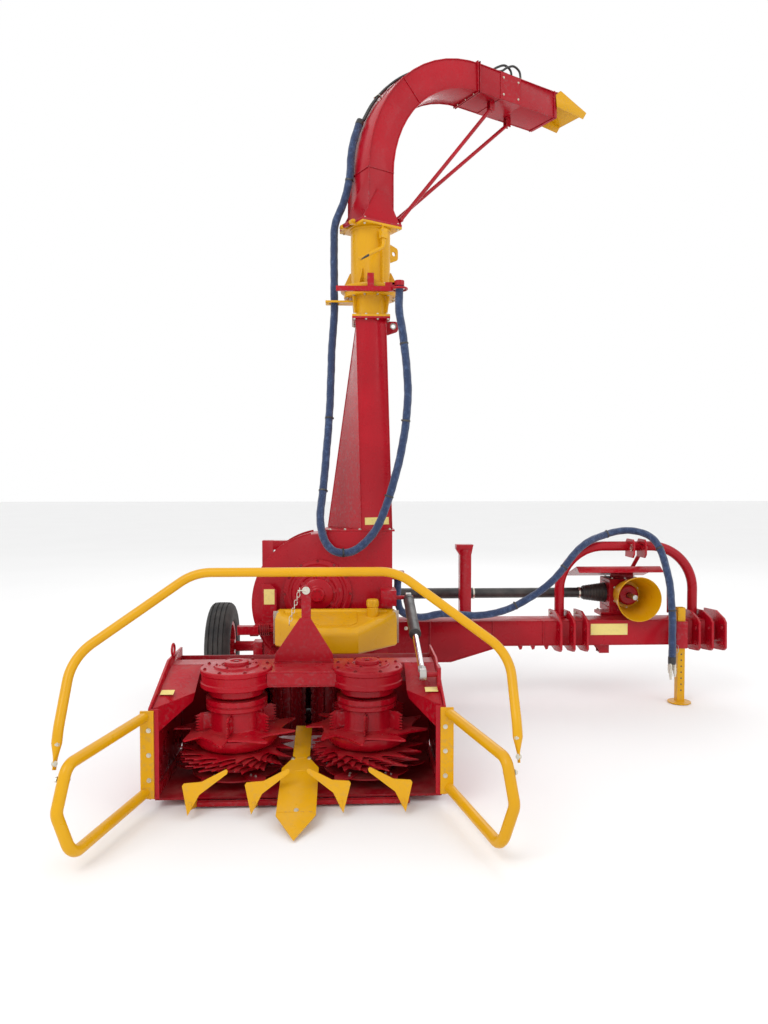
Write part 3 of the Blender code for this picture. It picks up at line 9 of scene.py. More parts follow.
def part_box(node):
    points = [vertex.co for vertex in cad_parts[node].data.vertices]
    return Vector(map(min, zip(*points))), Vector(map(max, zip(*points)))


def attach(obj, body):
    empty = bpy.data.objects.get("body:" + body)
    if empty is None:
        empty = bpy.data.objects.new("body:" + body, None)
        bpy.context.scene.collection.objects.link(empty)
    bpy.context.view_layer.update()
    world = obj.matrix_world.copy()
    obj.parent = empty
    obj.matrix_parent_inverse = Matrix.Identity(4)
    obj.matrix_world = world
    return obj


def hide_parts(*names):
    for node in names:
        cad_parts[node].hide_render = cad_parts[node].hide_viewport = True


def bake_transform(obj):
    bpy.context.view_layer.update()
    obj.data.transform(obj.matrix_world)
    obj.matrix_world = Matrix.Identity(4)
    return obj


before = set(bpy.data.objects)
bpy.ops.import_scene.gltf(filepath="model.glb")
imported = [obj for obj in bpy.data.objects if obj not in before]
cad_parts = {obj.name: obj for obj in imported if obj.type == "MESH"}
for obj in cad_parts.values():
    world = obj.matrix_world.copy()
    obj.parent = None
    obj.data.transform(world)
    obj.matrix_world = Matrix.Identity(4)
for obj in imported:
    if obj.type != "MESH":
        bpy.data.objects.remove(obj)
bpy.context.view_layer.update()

# ---------------------------------------------------------------- places read from the frame
# The pieces are modelled from the header: x = 0 at its middle, y = 0 at the side walls' front
# edge and z = 0 on the ground. ORIGIN is that place in the frame's own coordinates.
PAN_FRONT = 0.062
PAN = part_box("header_pan")
ORIGIN = Vector(((PAN[0].x + PAN[1].x) / 2, PAN[0].y - PAN_FRONT, 0.0))


def at(x, y, z):
    """A place given from the header, in the frame's coordinates."""
    return ORIGIN + Vector((x, y, z))


def low(node):
    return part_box(node)[0] - ORIGIN


def high(node):
    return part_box(node)[1] - ORIGIN


def middle(node):
    return (low(node) + high(node)) / 2


# ---------------------------------------------------------------- materials
def nodes_of(name):
    made = bpy.data.materials.new(name)
    made.use_nodes = True
    tree = made.node_tree
    return made, tree, tree.nodes["Principled BSDF"]


def noise(tree, scale, detail=4.0, rough=0.55, where=None):
    node = tree.nodes.new("ShaderNodeTexNoise")
    node.inputs["Scale"].default_value = scale
    node.inputs["Detail"].default_value = detail
    node.inputs["Roughness"].default_value = rough
    tree.links.new(where or position(tree), node.inputs["Vector"])
    return node.outputs["Fac"]


def position(tree):
    """Object coordinates; the node's place is in its vertices, so they're the frame's."""
    for node in tree.nodes:
        if node.bl_idname == "ShaderNodeTexCoord":
            return node.outputs["Object"]
    return tree.nodes.new("ShaderNodeTexCoord").outputs["Object"]


def ramp(tree, value, low, high, bottom=0.0, top=1.0):
    node = tree.nodes.new("ShaderNodeMapRange")
    node.inputs["From Min"].default_value = low
    node.inputs["From Max"].default_value = high
    node.inputs["To Min"].default_value = bottom
    node.inputs["To Max"].default_value = top
    tree.links.new(value, node.inputs["Value"])
    return node.outputs["Result"]


def math_node(tree, kind, a, b):
    node = tree.nodes.new("ShaderNodeMath")
    node.operation = kind
    for socket, value in zip(node.inputs, (a, b)):
        if isinstance(value, (int, float)):
            socket.default_value = value
        else:
            tree.links.new(value, socket)
    return node.outputs[0]


def mix_colour(tree, factor, a, b):
    node = tree.nodes.new("ShaderNodeMix")
    node.data_type = "RGBA"
    tree.links.new(factor, node.inputs["Factor"])
    for socket, value in ((node.inputs[6], a), (node.inputs[7], b)):
        if isinstance(value, tuple):
            socket.default_value = (*value, 1.0)
        else:
            tree.links.new(value, socket)
    return node.outputs[2]


def bump(tree, shader, height, strength, distance=0.001):
    node = tree.nodes.new("ShaderNodeBump")
    node.inputs["Strength"].default_value = strength
    node.inputs["Distance"].default_value = distance
    tree.links.new(height, node.inputs["Height"])
    tree.links.new(node.outputs["Normal"], shader.inputs["Normal"])


def patches(tree, scale, detail, rough, start, full, share):
    """Blotches of noise, as a factor."""
    return math_node(tree, "MULTIPLY", ramp(tree, noise(tree, scale, detail, rough), start, full),
                     share)


def edge_wear(tree):
    """Where the surface is sharply convex: corners and rims."""
    geometry = tree.nodes.new("ShaderNodeNewGeometry")
    return ramp(tree, geometry.outputs["Pointiness"], 0.53, 0.6)


def up_facing(tree):
    geometry = tree.nodes.new("ShaderNodeNewGeometry")
    split = tree.nodes.new("ShaderNodeSeparateXYZ")
    tree.links.new(geometry.outputs["Normal"], split.inputs[0])
    return ramp(tree, split.outputs[2], 0.35, 1.0)


def paint(name, colour, deep, roughness, dust=0.2, chips=0.5):
    """Enamel over steel: tone drift, orange peel, dust on what faces up, chips on edges."""
    made, tree, shader = nodes_of(name)
    drift = ramp(tree, noise(tree, 2.1, 3.0), 0.3, 0.72)
    body = mix_colour(tree, drift, colour, deep)
    settled = math_node(tree, "MULTIPLY", up_facing(tree),
                        ramp(tree, noise(tree, 9.0, 6.0, 0.65), 0.42, 0.72))
    settled = math_node(tree, "MULTIPLY", settled, dust)
    body = mix_colour(tree, settled, body, (0.46, 0.38, 0.3))
    grime = patches(tree, 27.0, 8.0, 0.7, 0.6, 0.78, 0.22)
    body = mix_colour(tree, grime, body, tuple(c * 0.42 for c in deep))
    worn = math_node(tree, "MULTIPLY", edge_wear(tree), ramp(tree, noise(tree, 60.0, 5.0), 0.52, 0.64))
    worn = math_node(tree, "MULTIPLY", worn, chips)
    body = mix_colour(tree, worn, body, tuple(0.35 * c + 0.1 for c in colour))
    tree.links.new(body, shader.inputs["Base Color"])
    shine = ramp(tree, noise(tree, 14.0, 5.0), 0.3, 0.7, roughness - 0.06, roughness + 0.09)
    shine = math_node(tree, "ADD", shine, math_node(tree, "MULTIPLY", settled, 1.1))
    tree.links.new(shine, shader.inputs["Roughness"])
    shader.inputs["Specular IOR Level"].default_value = 0.22
    shader.inputs["Coat Weight"].default_value = 0.1
    shader.inputs["Coat Roughness"].default_value = 0.1
    peel = math_node(tree, "ADD", noise(tree, 260.0, 2.0),
                     math_node(tree, "MULTIPLY", noise(tree, 30.0, 3.0), 1.6))
    bump(tree, shader, peel, 0.1, 0.0012)
    return made


def metal(name, colour, roughness, grain=400.0, stain=0.25):
    made, tree, shader = nodes_of(name)
    shader.inputs["Metallic"].default_value = 1.0
    blot = patches(tree, 18.0, 6.0, 0.7, 0.5, 0.8, stain)
    tree.links.new(mix_colour(tree, blot, colour, (0.16, 0.12, 0.09)), shader.inputs["Base Color"])
    rough = ramp(tree, noise(tree, grain, 3.0), 0.3, 0.7, roughness * 0.8, roughness * 1.3)
    tree.links.new(rough, shader.inputs["Roughness"])
    bump(tree, shader, noise(tree, grain, 2.0), 0.08)
    return made


def rubber(name, colour, roughness, dust, scale=90.0):
    made, tree, shader = nodes_of(name)
    film = patches(tree, 7.0, 6.0, 0.65, 0.38, 0.75, dust)
    tree.links.new(mix_colour(tree, film, colour, (0.3, 0.26, 0.22)), shader.inputs["Base Color"])
    rough = ramp(tree, noise(tree, 22.0, 4.0), 0.3, 0.7, roughness - 0.08, roughness + 0.08)
    tree.links.new(rough, shader.inputs["Roughness"])
    bump(tree, shader, noise(tree, scale, 5.0, 0.6), 0.25, 0.0015)
    return made


def woven(name, colour, dark, pale):
    """Protective sleeve: a fine diagonal weave with lighter worn threads."""
    made, tree, shader = nodes_of(name)
    waves = []
    for turn in (0.7, -0.7):
        mapping = tree.nodes.new("ShaderNodeMapping")
        mapping.inputs["Rotation"].default_value = (turn, turn * 0.6, turn)
        tree.links.new(position(tree), mapping.inputs["Vector"])
        wave = tree.nodes.new("ShaderNodeTexWave")
        wave.inputs["Scale"].default_value = 110.0
        wave.inputs["Distortion"].default_value = 1.2
        wave.inputs["Detail"].default_value = 2.0
        tree.links.new(mapping.outputs["Vector"], wave.inputs["Vector"])
        waves.append(wave.outputs["Fac"])
    weave = math_node(tree, "MULTIPLY", *waves)
    body = mix_colour(tree, weave, dark, colour)
    fuzz = patches(tree, 34.0, 7.0, 0.7, 0.5, 0.72, 0.55)
    tree.links.new(mix_colour(tree, fuzz, body, pale), shader.inputs["Base Color"])
    shader.inputs["Roughness"].default_value = 0.85
    shader.inputs["Sheen Weight"].default_value = 0.35
    folds = math_node(tree, "ADD", weave, math_node(tree, "MULTIPLY", noise(tree, 42.0, 4.0), 2.2))
    bump(tree, shader, folds, 0.55, 0.0025)
    return made


LOOKS = {
    "red": (paint("red_enamel", (0.42, 0.002, 0.012), (0.29, 0.001, 0.008), 0.28, 0.1), "red_paint"),
    "dark_red": (paint("red_enamel_worn", (0.3, 0.002, 0.009), (0.18, 0.001, 0.005), 0.36, 0.16, 0.5),
                 "red_paint"),
    "yellow": (paint("yellow_enamel", (0.7, 0.36, 0.003), (0.6, 0.29, 0.002), 0.3, 0.1),
               "yellow_paint"),
    "label": (paint("blank_label", (0.8, 0.66, 0.22), (0.74, 0.6, 0.2), 0.42, 0.1, 0.2),
              "yellow_paint"),
    "pale": (paint("blank_pale_label", (0.72, 0.7, 0.62), (0.62, 0.6, 0.54), 0.42, 0.1, 0.2),
             "yellow_paint"),
    "tyre": (rubber("tyre_rubber_dusty", (0.018, 0.018, 0.019), 0.82, 0.18), "tyre_rubber"),
    "black": (rubber("black_plastic_guard", (0.016, 0.016, 0.018), 0.42, 0.25, 220.0), "black_plastic"),
    "hose": (rubber("black_hose_rubber", (0.014, 0.014, 0.015), 0.38, 0.12, 300.0), "hose_rubber"),
    "steel": (metal("bare_steel_worn", (0.52, 0.51, 0.49), 0.36), "bare_steel"),
    "zinc": (metal("zinc_bolt", (0.66, 0.63, 0.54), 0.3, 300.0, 0.15), "bare_steel"),
    "chrome": (metal("chrome_rod", (0.82, 0.82, 0.84), 0.1, 500.0, 0.05), "chrome"),
    "sleeve": (woven("blue_sleeve", (0.03, 0.075, 0.21), (0.008, 0.02, 0.065), (0.1, 0.17, 0.34)),
               "hose_sleeve"),
}


# ---------------------------------------------------------------- mesh tools
AXES = {
    "X": Matrix(((0, 0, 1), (1, 0, 0), (0, 1, 0))).to_4x4(),
    "Y": Matrix(((1, 0, 0), (0, 0, -1), (0, 1, 0))).to_4x4(),
    "Z": Matrix.Identity(4),
}
LIFT_AXIS = {"X": Vector((1, 0, 0)), "Y": Vector((0, 1, 0)), "Z": Vector((0, 0, 1))}
TURN_AXIS = {
    "Z": Matrix.Identity(4),
    "X": Matrix.Rotation(math.radians(90), 4, "Y"),
    "Y": Matrix.Rotation(math.radians(-90), 4, "X"),
}


UP, DOWN, FRONT, BACK = (0, 0, 1), (0, 0, -1), (0, -1, 0), (0, 1, 0)
MERGE_GAP = 0.00002                     # points closer than this are one point


def new_object(name, data):
    obj = bpy.data.objects.new(name, data)
    bpy.context.scene.collection.objects.link(obj)
    return obj


def soften(obj, width, segments, angle):
    """Rounds the edges that are sharper than an angle."""
    soft = obj.modifiers.new("edges", "BEVEL")
    soft.width = width
    soft.segments = segments
    soft.limit_method = "ANGLE"
    soft.angle_limit = math.radians(angle)
    soft.use_clamp_overlap = True
    soft.harden_normals = True


def about(x, y, degrees):
    """A turn about an upright line, whose foot becomes the origin."""
    return Matrix.Translation((x, y, 0)) @ Matrix.Rotation(math.radians(degrees), 4, "Z")


def rectangle(a, b, low, high):
    """A rectangle's corners; turned about an axis they make a ring."""
    return [(a, low), (b, low), (b, high), (a, high)]


class Shape:
    """A piece under construction: solids gathered in one mesh, in the header's coordinates."""

    def __init__(self, place=None):
        self.mesh = bmesh.new()
        self.place = place or Matrix.Identity(4)

    def take(self, verts, matrix):
        bmesh.ops.transform(self.mesh, matrix=self.place @ matrix, verts=verts)

    def box(self, low, high, matrix=None):
        size = [b - a for a, b in zip(low, high)]
        centre = [(a + b) / 2 for a, b in zip(low, high)]
        verts = bmesh.ops.create_cube(self.mesh, size=1.0)["verts"]
        here = Matrix.Translation(centre) @ Matrix.Diagonal((*size, 1.0))
        self.take(verts, (matrix or Matrix.Identity(4)) @ here)

    def rod(self, start, end, radius, end_radius=None, sides=32):
        start, end = Vector(start), Vector(end)
        along = end - start
        verts = bmesh.ops.create_cone(
            self.mesh, cap_ends=True, segments=sides, radius1=radius,
            radius2=radius if end_radius is None else end_radius, depth=along.length)["verts"]
        turn = Vector((0, 0, 1)).rotation_difference(along.normalized()).to_matrix().to_4x4()
        self.take(verts, Matrix.Translation((start + end) / 2) @ turn)

    def bar(self, start, end, width, depth):
        start, end = Vector(start), Vector(end)
        along = end - start
        verts = bmesh.ops.create_cube(self.mesh, size=1.0)["verts"]
        turn = along.normalized().to_track_quat("Z", "Y").to_matrix().to_4x4()
        scale = Matrix.Diagonal((width, depth, along.length, 1.0))
        self.take(verts, Matrix.Translation((start + end) / 2) @ turn @ scale)

    def bolt(self, place, axis, size=0.01, length=0.008):
        """A hexagon head on its washer, standing on a surface along an axis."""
        place, axis = Vector(place), Vector(axis).normalized()
        self.rod(place, place + axis * length * 0.25, size * 1.25, sides=18)
        self.rod(place, place + axis * length, size, sides=6)
        self.rod(place + axis * length, place + axis * length * 1.35, size * 0.5, sides=12)

    def plate(self, outline, normal, low, high, holes=()):
        curve = bpy.data.curves.new("outline", "CURVE")
        curve.dimensions = "2D"
        curve.fill_mode = "BOTH"
        curve.extrude = (high - low) / 2
        for loop in (outline, *holes):
            spline = curve.splines.new("POLY")
            spline.points.add(len(loop) - 1)
            for point, (a, b) in zip(spline.points, loop):
                point.co = (a, b, 0, 1)
            spline.use_cyclic_u = True
        self.absorb(curve, Matrix.Translation(LIFT_AXIS[normal] * (low + high) / 2) @ AXES[normal])

    def tube(self, route, diameter, sides=5, cyclic=False):
        curve = bpy.data.curves.new("tube", "CURVE")
        curve.dimensions = "3D"
        curve.bevel_depth = diameter / 2
        curve.bevel_resolution = sides
        curve.use_fill_caps = True
        spline = curve.splines.new("POLY")
        spline.points.add(len(route) - 1)
        for point, spot in zip(spline.points, route):
            point.co = (*spot, 1)
        spline.use_cyclic_u = cyclic
        self.absorb(curve, Matrix.Identity(4))

    def turned(self, profile, centre, axis="Z", sides=64):
        """A closed profile of (radius, height) turned about an axis."""
        count = len(profile)
        rings = []
        for k in range(sides):
            angle = 2 * math.pi * k / sides
            rings.append([self.mesh.verts.new((r * math.cos(angle), r * math.sin(angle), h)) for r,
                          h in profile])
        for k in range(sides):
            near, far = rings[k], rings[(k + 1) % sides]
            for i in range(count):
                j = (i + 1) % count
                self.mesh.faces.new((near[i], far[i], far[j], near[j]))
        verts = [v for loop in rings for v in loop]
        self.take(verts, Matrix.Translation(centre) @ TURN_AXIS[axis])

    def skin(self, rings, closed=True, caps=True):
        """A surface through rings of points."""
        loops = [[self.mesh.verts.new(self.place @ Vector(p)) for p in loop] for loop in rings]
        for near, far in zip(loops, loops[1:]):
            span = len(near) if closed else len(near) - 1
            for i in range(span):
                j = (i + 1) % len(near)
                self.mesh.faces.new((near[i], near[j], far[j], far[i]))
        if caps:
            self.mesh.faces.new(loops[0])
            self.mesh.faces.new(loops[-1])

    def absorb(self, curve, matrix):
        obj = new_object("curve", curve)
        bpy.context.view_layer.update()
        graph = bpy.context.evaluated_depsgraph_get()
        made = bpy.data.meshes.new_from_object(obj.evaluated_get(graph))
        part = bmesh.new()
        part.from_mesh(made)
        bmesh.ops.remove_doubles(part, verts=part.verts, dist=MERGE_GAP)
        part.transform(self.place @ matrix)
        part.to_mesh(made)
        part.free()
        self.mesh.from_mesh(made)
        bpy.data.objects.remove(obj, do_unlink=True)
        bpy.data.curves.remove(curve)

    def finish(self, name, look, body, stands_for=(), bevel=0.0015, segments=2, angle=32):
        """Turns the gathered solids into a named piece that rides on a body, if one is given."""
        bmesh.ops.recalc_face_normals(self.mesh, faces=self.mesh.faces)
        self.mesh.transform(Matrix.Translation(ORIGIN))
        data = bpy.data.meshes.new(name)
        self.mesh.to_mesh(data)
        self.mesh.free()
        obj = new_object(name, data)
        data.shade_smooth()
        data.set_sharp_from_angle(angle=math.radians(angle))
        if bevel:
            soften(obj, bevel, segments, angle)
        material, slot = LOOKS[look]
        data.materials.clear()
        data.materials.append(material)
        if body:
            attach(obj, body)
        if stands_for:
            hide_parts(*stands_for)
        return obj


def circle(centre, radius, sides=32, start=0.0):
    return [(centre[0] + radius * math.cos(math.radians(start) + 2 * math.pi * i / sides),
             centre[1] + radius * math.sin(math.radians(start) + 2 * math.pi * i / sides))
            for i in range(sides)]


def ring_of(count, centre, radius, start=0.0):
    return circle(centre, radius, count, start)


def toothed(centre, teeth, root, tip, lean=0.55, flat=0.12, curve=3):
    """Teeth with a slowly rising, slightly hollow back and a steep front."""
    points = []
    for i in range(teeth):
        for k in range(curve + 1):
            share = lean * k / curve
            radius = root + (tip - root) * (k / curve) ** 1.6
            points.append((i + share, radius))
        points.append((i + lean + flat, tip))
        points.append((i + lean + flat + 0.04, root * 0.985))
    return [(centre[0] + r * math.cos(2 * math.pi * s / teeth),
             centre[1] + r * math.sin(2 * math.pi * s / teeth))
            for s, r in points]


def filleted(points, radius, steps=14):
    spots = [Vector(p) for p in points]
    line = [spots[0]]
    for i in range(1, len(spots) - 1):
        here = spots[i]
        back = (spots[i - 1] - here).normalized()
        ahead = (spots[i + 1] - here).normalized()
        half = back.angle(ahead) / 2
        reach = radius / math.tan(half)
        centre = here + (back + ahead).normalized() * radius / math.sin(half)
        first, last = here + back * reach - centre, here + ahead * reach - centre
        for k in range(steps + 1):
            line.append(centre + first.slerp(last, k / steps).normalized() * radius)
    return [*line, spots[-1]]


def smooth_route(points, spacing):
    ends = [Vector(p) for p in points]
    ends = [2 * ends[0] - ends[1], *ends, 2 * ends[-1] - ends[-2]]
    fine = []
    for a, b, c, d in zip(ends, ends[1:], ends[2:], ends[3:]):
        for k in range(24):
            t = k / 24
            fine.append(0.5 * (2 * b + (c - a) * t + (2 * a - 5 * b + 4 * c - d) * t * t
                               + (3 * b - a - 3 * c + d) * t ** 3))
    fine.append(ends[-2])
    return resampled(fine, spacing)


def resampled(fine, spacing):
    """Points at an even spacing along a polyline."""
    lengths = [0.0]
    for a, b in zip(fine, fine[1:]):
        lengths.append(lengths[-1] + (b - a).length)
    count = max(2, round(lengths[-1] / spacing))
    route, k = [], 0
    for i in range(count + 1):
        goal = lengths[-1] * i / count
        while k < len(lengths) - 2 and lengths[k + 1] < goal:
            k += 1
        part = (goal - lengths[k]) / (lengths[k + 1] - lengths[k])
        route.append(fine[k].lerp(fine[k + 1], min(1.0, part)))
    return route


def sleeve_tube(shape, route, radius, sides=20, wrinkle=0.035):
    """A tube along a route whose skin is slightly lumpy, as a stuffed sleeve is."""
    spots = [Vector(p) for p in route]
    tangents = [(b - a).normalized() for a, b in zip(spots, spots[1:])]
    tangents.append(tangents[-1])
    side = tangents[0].orthogonal().normalized()
    rings = []
    for i, (spot, tangent) in enumerate(zip(spots, tangents)):
        side = (side - tangent * side.dot(tangent)).normalized()
        other = tangent.cross(side)
        loop = []
        for k in range(sides):
            angle = 2 * math.pi * k / sides
            swell = math.sin(i * 0.83 + 2 * angle) * 0.5 + math.sin(i * 0.31 + 3 * angle + 1.3) * 0.5
            reach = radius * (1 - wrinkle + wrinkle * swell)
            loop.append(spot + (side * math.cos(angle) + other * math.sin(angle)) * reach)
        rings.append(loop)
    shape.skin(rings)


# ---------------------------------------------------------------- CAD nodes that keep their shape
def keep(node, look, bevel=0.002, angle=35):
    """A CAD node whose shape is right gets its finish and softened edges."""
    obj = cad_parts[node]
    material, _ = LOOKS[look]
    for holder in obj.material_slots:
        holder.material = material
    obj.data.shade_smooth()
    obj.data.set_sharp_from_angle(angle=math.radians(angle))
    weld = obj.modifiers.new("weld", "WELD")
    weld.merge_threshold = MERGE_GAP
    soften(obj, bevel, 2, angle)


KEPT = {
    "chopper_housing": "red", "flywheel": "steel", "feed_box": "red", "tower": "red",
    "turret_base": "yellow", "turret_column": "yellow", "spout": "red", "flap": "yellow",
    "main_beam": "red", "hitch_end_plate": "red", "gearbox_shield": "red", "back_frame": "red",
    "wheel_arm": "red", "stand_socket": "red", "header_wall_left": "red",
    "header_wall_right": "red", "header_pan": "dark_red", "centre_plate": "yellow",
        "pto_shaft": "steel", "hose_clamp": "red",
}

# ---------------------------------------------------------------- header
SIDES = {"left": -1, "right": 1}
DRUM_X = {side: middle(f"drum_{side}").x for side in SIDES}
DRUM_Y = 0.31
INNER = 0.65                           # side walls' inner faces
HOOP_X = 0.884                          # where the crop hoop's ends stand


def rails():
    """Round tube rails bolted to strips on the walls' front edges, and the crop hoop."""
    for side, sign in SIDES.items():
        made = Shape()
        path = filleted([(sign * 0.676, -0.006, 0.43), (sign * 0.832, -0.5, 0.4),
                         (sign * 0.852, -0.56, 0.24), (sign * 0.805, -0.54, 0.075),
                         (sign * 0.676, -0.006, 0.09)], 0.06)
        made.tube(path, 0.0455, 8)
        edge = sorted((sign * 0.6345, sign * 0.6935))
        made.box((edge[0], -0.012, 0.0665), (edge[1], -0.0005, 0.4575))
        made.finish(f"rail_{side}", "yellow", "header", [f"side_rail_{side}"])
        bolts = Shape()
        for z in (0.15, 0.262, 0.372):
            bolts.bolt((sign * 0.656, -0.0122, z), FRONT, 0.0085, 0.006)
        spot = Vector((sign * 0.8395, -0.515, 0.352))
        bolts.bolt(spot + Vector((sign * 0.022, 0, 0)), (sign, 0, 0), 0.01, 0.008)
        bolts.rod(spot - Vector((sign * 0.024, 0, 0)), spot + Vector((sign * 0.024, 0, 0)), 0.006)
        bolts.finish(f"rail_bolts_{side}", "zinc", "header", bevel=0)
    half = [(HOOP_X, -0.492, 0.38), (HOOP_X, -0.44, 0.52), (HOOP_X, -0.29, 0.76), (0.43, -0.11, 1.08)]
    path = filleted([*[(-x, y, z) for x, y, z in half], *reversed(half)], 0.2, 20)
    hoop = Shape()
    hoop.skin(hoop_rings(resampled(path, 0.012)))
    hoop.finish("crop_hoop", "yellow", "header", ["front_hoop"], bevel=0.001)
    marks = Shape()
    for sign in (-1, 1):
        for z in (0.405, 0.47):
            y = -0.492 + (z - 0.38) * 0.371
            marks.bolt((sign * 0.8795, y - 0.012, z), (0, -1, 0.3), 0.0095, 0.007)
    marks.finish("hoop_bolts", "zinc", "header", bevel=0)


def hoop_rings(path, sides=20):
    """The hoop's tube, pressed flat where it is bolted at both ends."""
    rings = []
    for i, spot in enumerate(path):
        ahead = path[min(i + 1, len(path) - 1)] - path[max(i - 1, 0)]
        tangent = ahead.normalized()
        other = Vector((0, 1, 0)).cross(tangent).normalized()
        third = tangent.cross(other)
        pressed = max(0.0, min(1.0, (0.47 - spot.z) / 0.06))
        thin, wide = 0.0198 * (1 - 0.8 * pressed), 0.0198
        lean = -0.0005 if spot.x > 0 else 0.0005
        rings.append([spot + Vector((lean * 4 * pressed, 0,
                                     0)) + other * math.cos(a) * thin + third * math.sin(a) * wide
                      for a in (2 * math.pi * k / sides for k in range(sides))])
    return rings


def header_details():
    """Deflectors, wall bolts, blank labels and the welded seams of the header's box."""
    for side, sign in SIDES.items():
        panel = Shape()
        near = sign * (INNER - 0.0008)
        far = sign * (INNER - 0.15)
        lower = [(near, 0.012, 0.33), (near, 0.03, 0.452), (far, 0.23, 0.47),
                 (sign * 0.512, 0.236, 0.43)]
        ahead = Vector((0, 0.004, 0.001))
        panel.skin([[Vector(p) for p in lower], [Vector(p) + ahead for p in lower]])
        roof = [(near, 0.03, 0.452), (near, 0.404, 0.56), (far, 0.404, 0.56), (far, 0.23, 0.47)]
        panel.skin([[Vector(p) for p in roof], [Vector(p) + Vector((0, 0, 0.004)) for p in roof]])
        panel.finish(f"deflector_{side}", "red", "header", bevel=0.001)
        bolts = Shape()
        outer = sign * (INNER + 0.01)
        for y, z in ((0.06, 0.11), (0.3, 0.11), (0.52, 0.11), (0.06, 0.42), (0.4, 0.545), (0.6, 0.545)):
            bolts.bolt((sign * (INNER + 0.0102), y, z), (sign, 0, 0), 0.0085, 0.006)
        bolts.finish(f"wall_bolts_{side}", "zinc", "header", bevel=0)
        seam = Shape()
        seam.tube([(sign * (INNER - 0.004), y, 0.0412) for y in (0.07, 0.2, 0.4, 0.6)], 0.008, 3)
        seam.tube([(sign * (INNER - 0.004), 0.628, z) for z in (0.05, 0.2, 0.4, 0.55)], 0.008, 3)
        seam.finish(f"wall_weld_{side}", "dark_red", "header", bevel=0)
        label = Shape()
        slope = Matrix.Translation((sign * (INNER - 0.04), 0.15,
                                    0.497)) @ Matrix.Rotation(math.radians(16), 4, "X")
        label.box((-0.03, -0.02, 0.0), (0.03, 0.02, 0.0012), slope)
        label.finish(f"wall_label_{side}", "label", "header", bevel=0)
        skirt = Shape()
        near, far = sorted((sign * (INNER - 0.017), sign * (INNER - 0.0006)))
        skirt.box((near, 0.064, 0.0402), (far, 0.629, 0.082))
        skirt.finish(f"wall_skirt_{side}", "red", "header", bevel=0.003)
        rivets = Shape()
        for z in (0.12, 0.26, 0.4):
            rivets.rod((outer, 0.018, z), (outer + sign * 0.004, 0.018, z), 0.007, 0.004, sides=16)
        rivets.finish(f"edge_rivets_{side}", "zinc", "header", bevel=0)


def gearcase():
    """The drums' gear casing: a cast beam with two round cases, their caps and bolts."""
    case = Shape()
    case.box((-0.6495, 0.4105, 0.4705), (0.6495, 0.5195, 0.5645))
    case.box((-0.3, 0.2405, 0.4905), (0.3, 0.42, 0.5655))
    case.box((-0.165, 0.236, 0.5), (0.165, 0.242, 0.556))
    for x in DRUM_X.values():
        case.turned([(0.0005, 0.4445), (0.118, 0.4445), (0.1295, 0.452), (0.1295, 0.4865),
                     (0.165, 0.4865),
                     (0.1715, 0.492), (0.1715, 0.512), (0.166, 0.516), (0.166, 0.552), (0.1715, 0.556),
                     (0.1715, 0.573), (0.167, 0.5775), (0.1095, 0.5795), (0.106, 0.5885),
                     (0.072, 0.5895),
                     (0.066, 0.582), (0.0595, 0.584), (0.057, 0.604), (0.05, 0.6055), (0.03, 0.6055),
                     (0.027, 0.599), (0.0005, 0.599)], (x, DRUM_Y, 0), sides=72)
        for a, b in ring_of(6, (x, DRUM_Y), 0.085, 20):
            case.bar((a, b, 0.589), (x + (a - x) * 0.72, DRUM_Y + (b - DRUM_Y) * 0.72, 0.586), 0.006,
                     0.006)
    for x in (-0.2, -0.07, 0.07, 0.2):
        case.box((x - 0.004, 0.4, 0.4715), (x + 0.004, 0.412, 0.5635))
    case.box((-0.24, 0.236, 0.558), (-0.17, 0.3, 0.5695))
    case.box((0.17, 0.236, 0.558), (0.24, 0.3, 0.5695))
    case.finish("gearcase", "red", "header", ["header_gearbox"], bevel=0.0018)
    bolts = Shape()
    for x in DRUM_X.values():
        for a, b in ring_of(8, (x, DRUM_Y), 0.153, 22.5):
            bolts.bolt((a, b, 0.5777), UP, 0.0078, 0.0065)
        for a, b in ring_of(6, (x, DRUM_Y), 0.094, 10):
            bolts.bolt((a, b, 0.589), UP, 0.0055, 0.005)
        bolts.rod((x, DRUM_Y, 0.599), (x, DRUM_Y, 0.6055), 0.012, sides=6)
    for x in (-0.205, 0.205):
        bolts.bolt((x, 0.268, 0.5697), UP, 0.009, 0.007)
    for x in (-0.62, -0.53, 0.53, 0.62):
        bolts.bolt((x, 0.4103, 0.535), FRONT, 0.008, 0.006)
    bolts.finish("gearcase_bolts", "dark_red", "header", bevel=0)


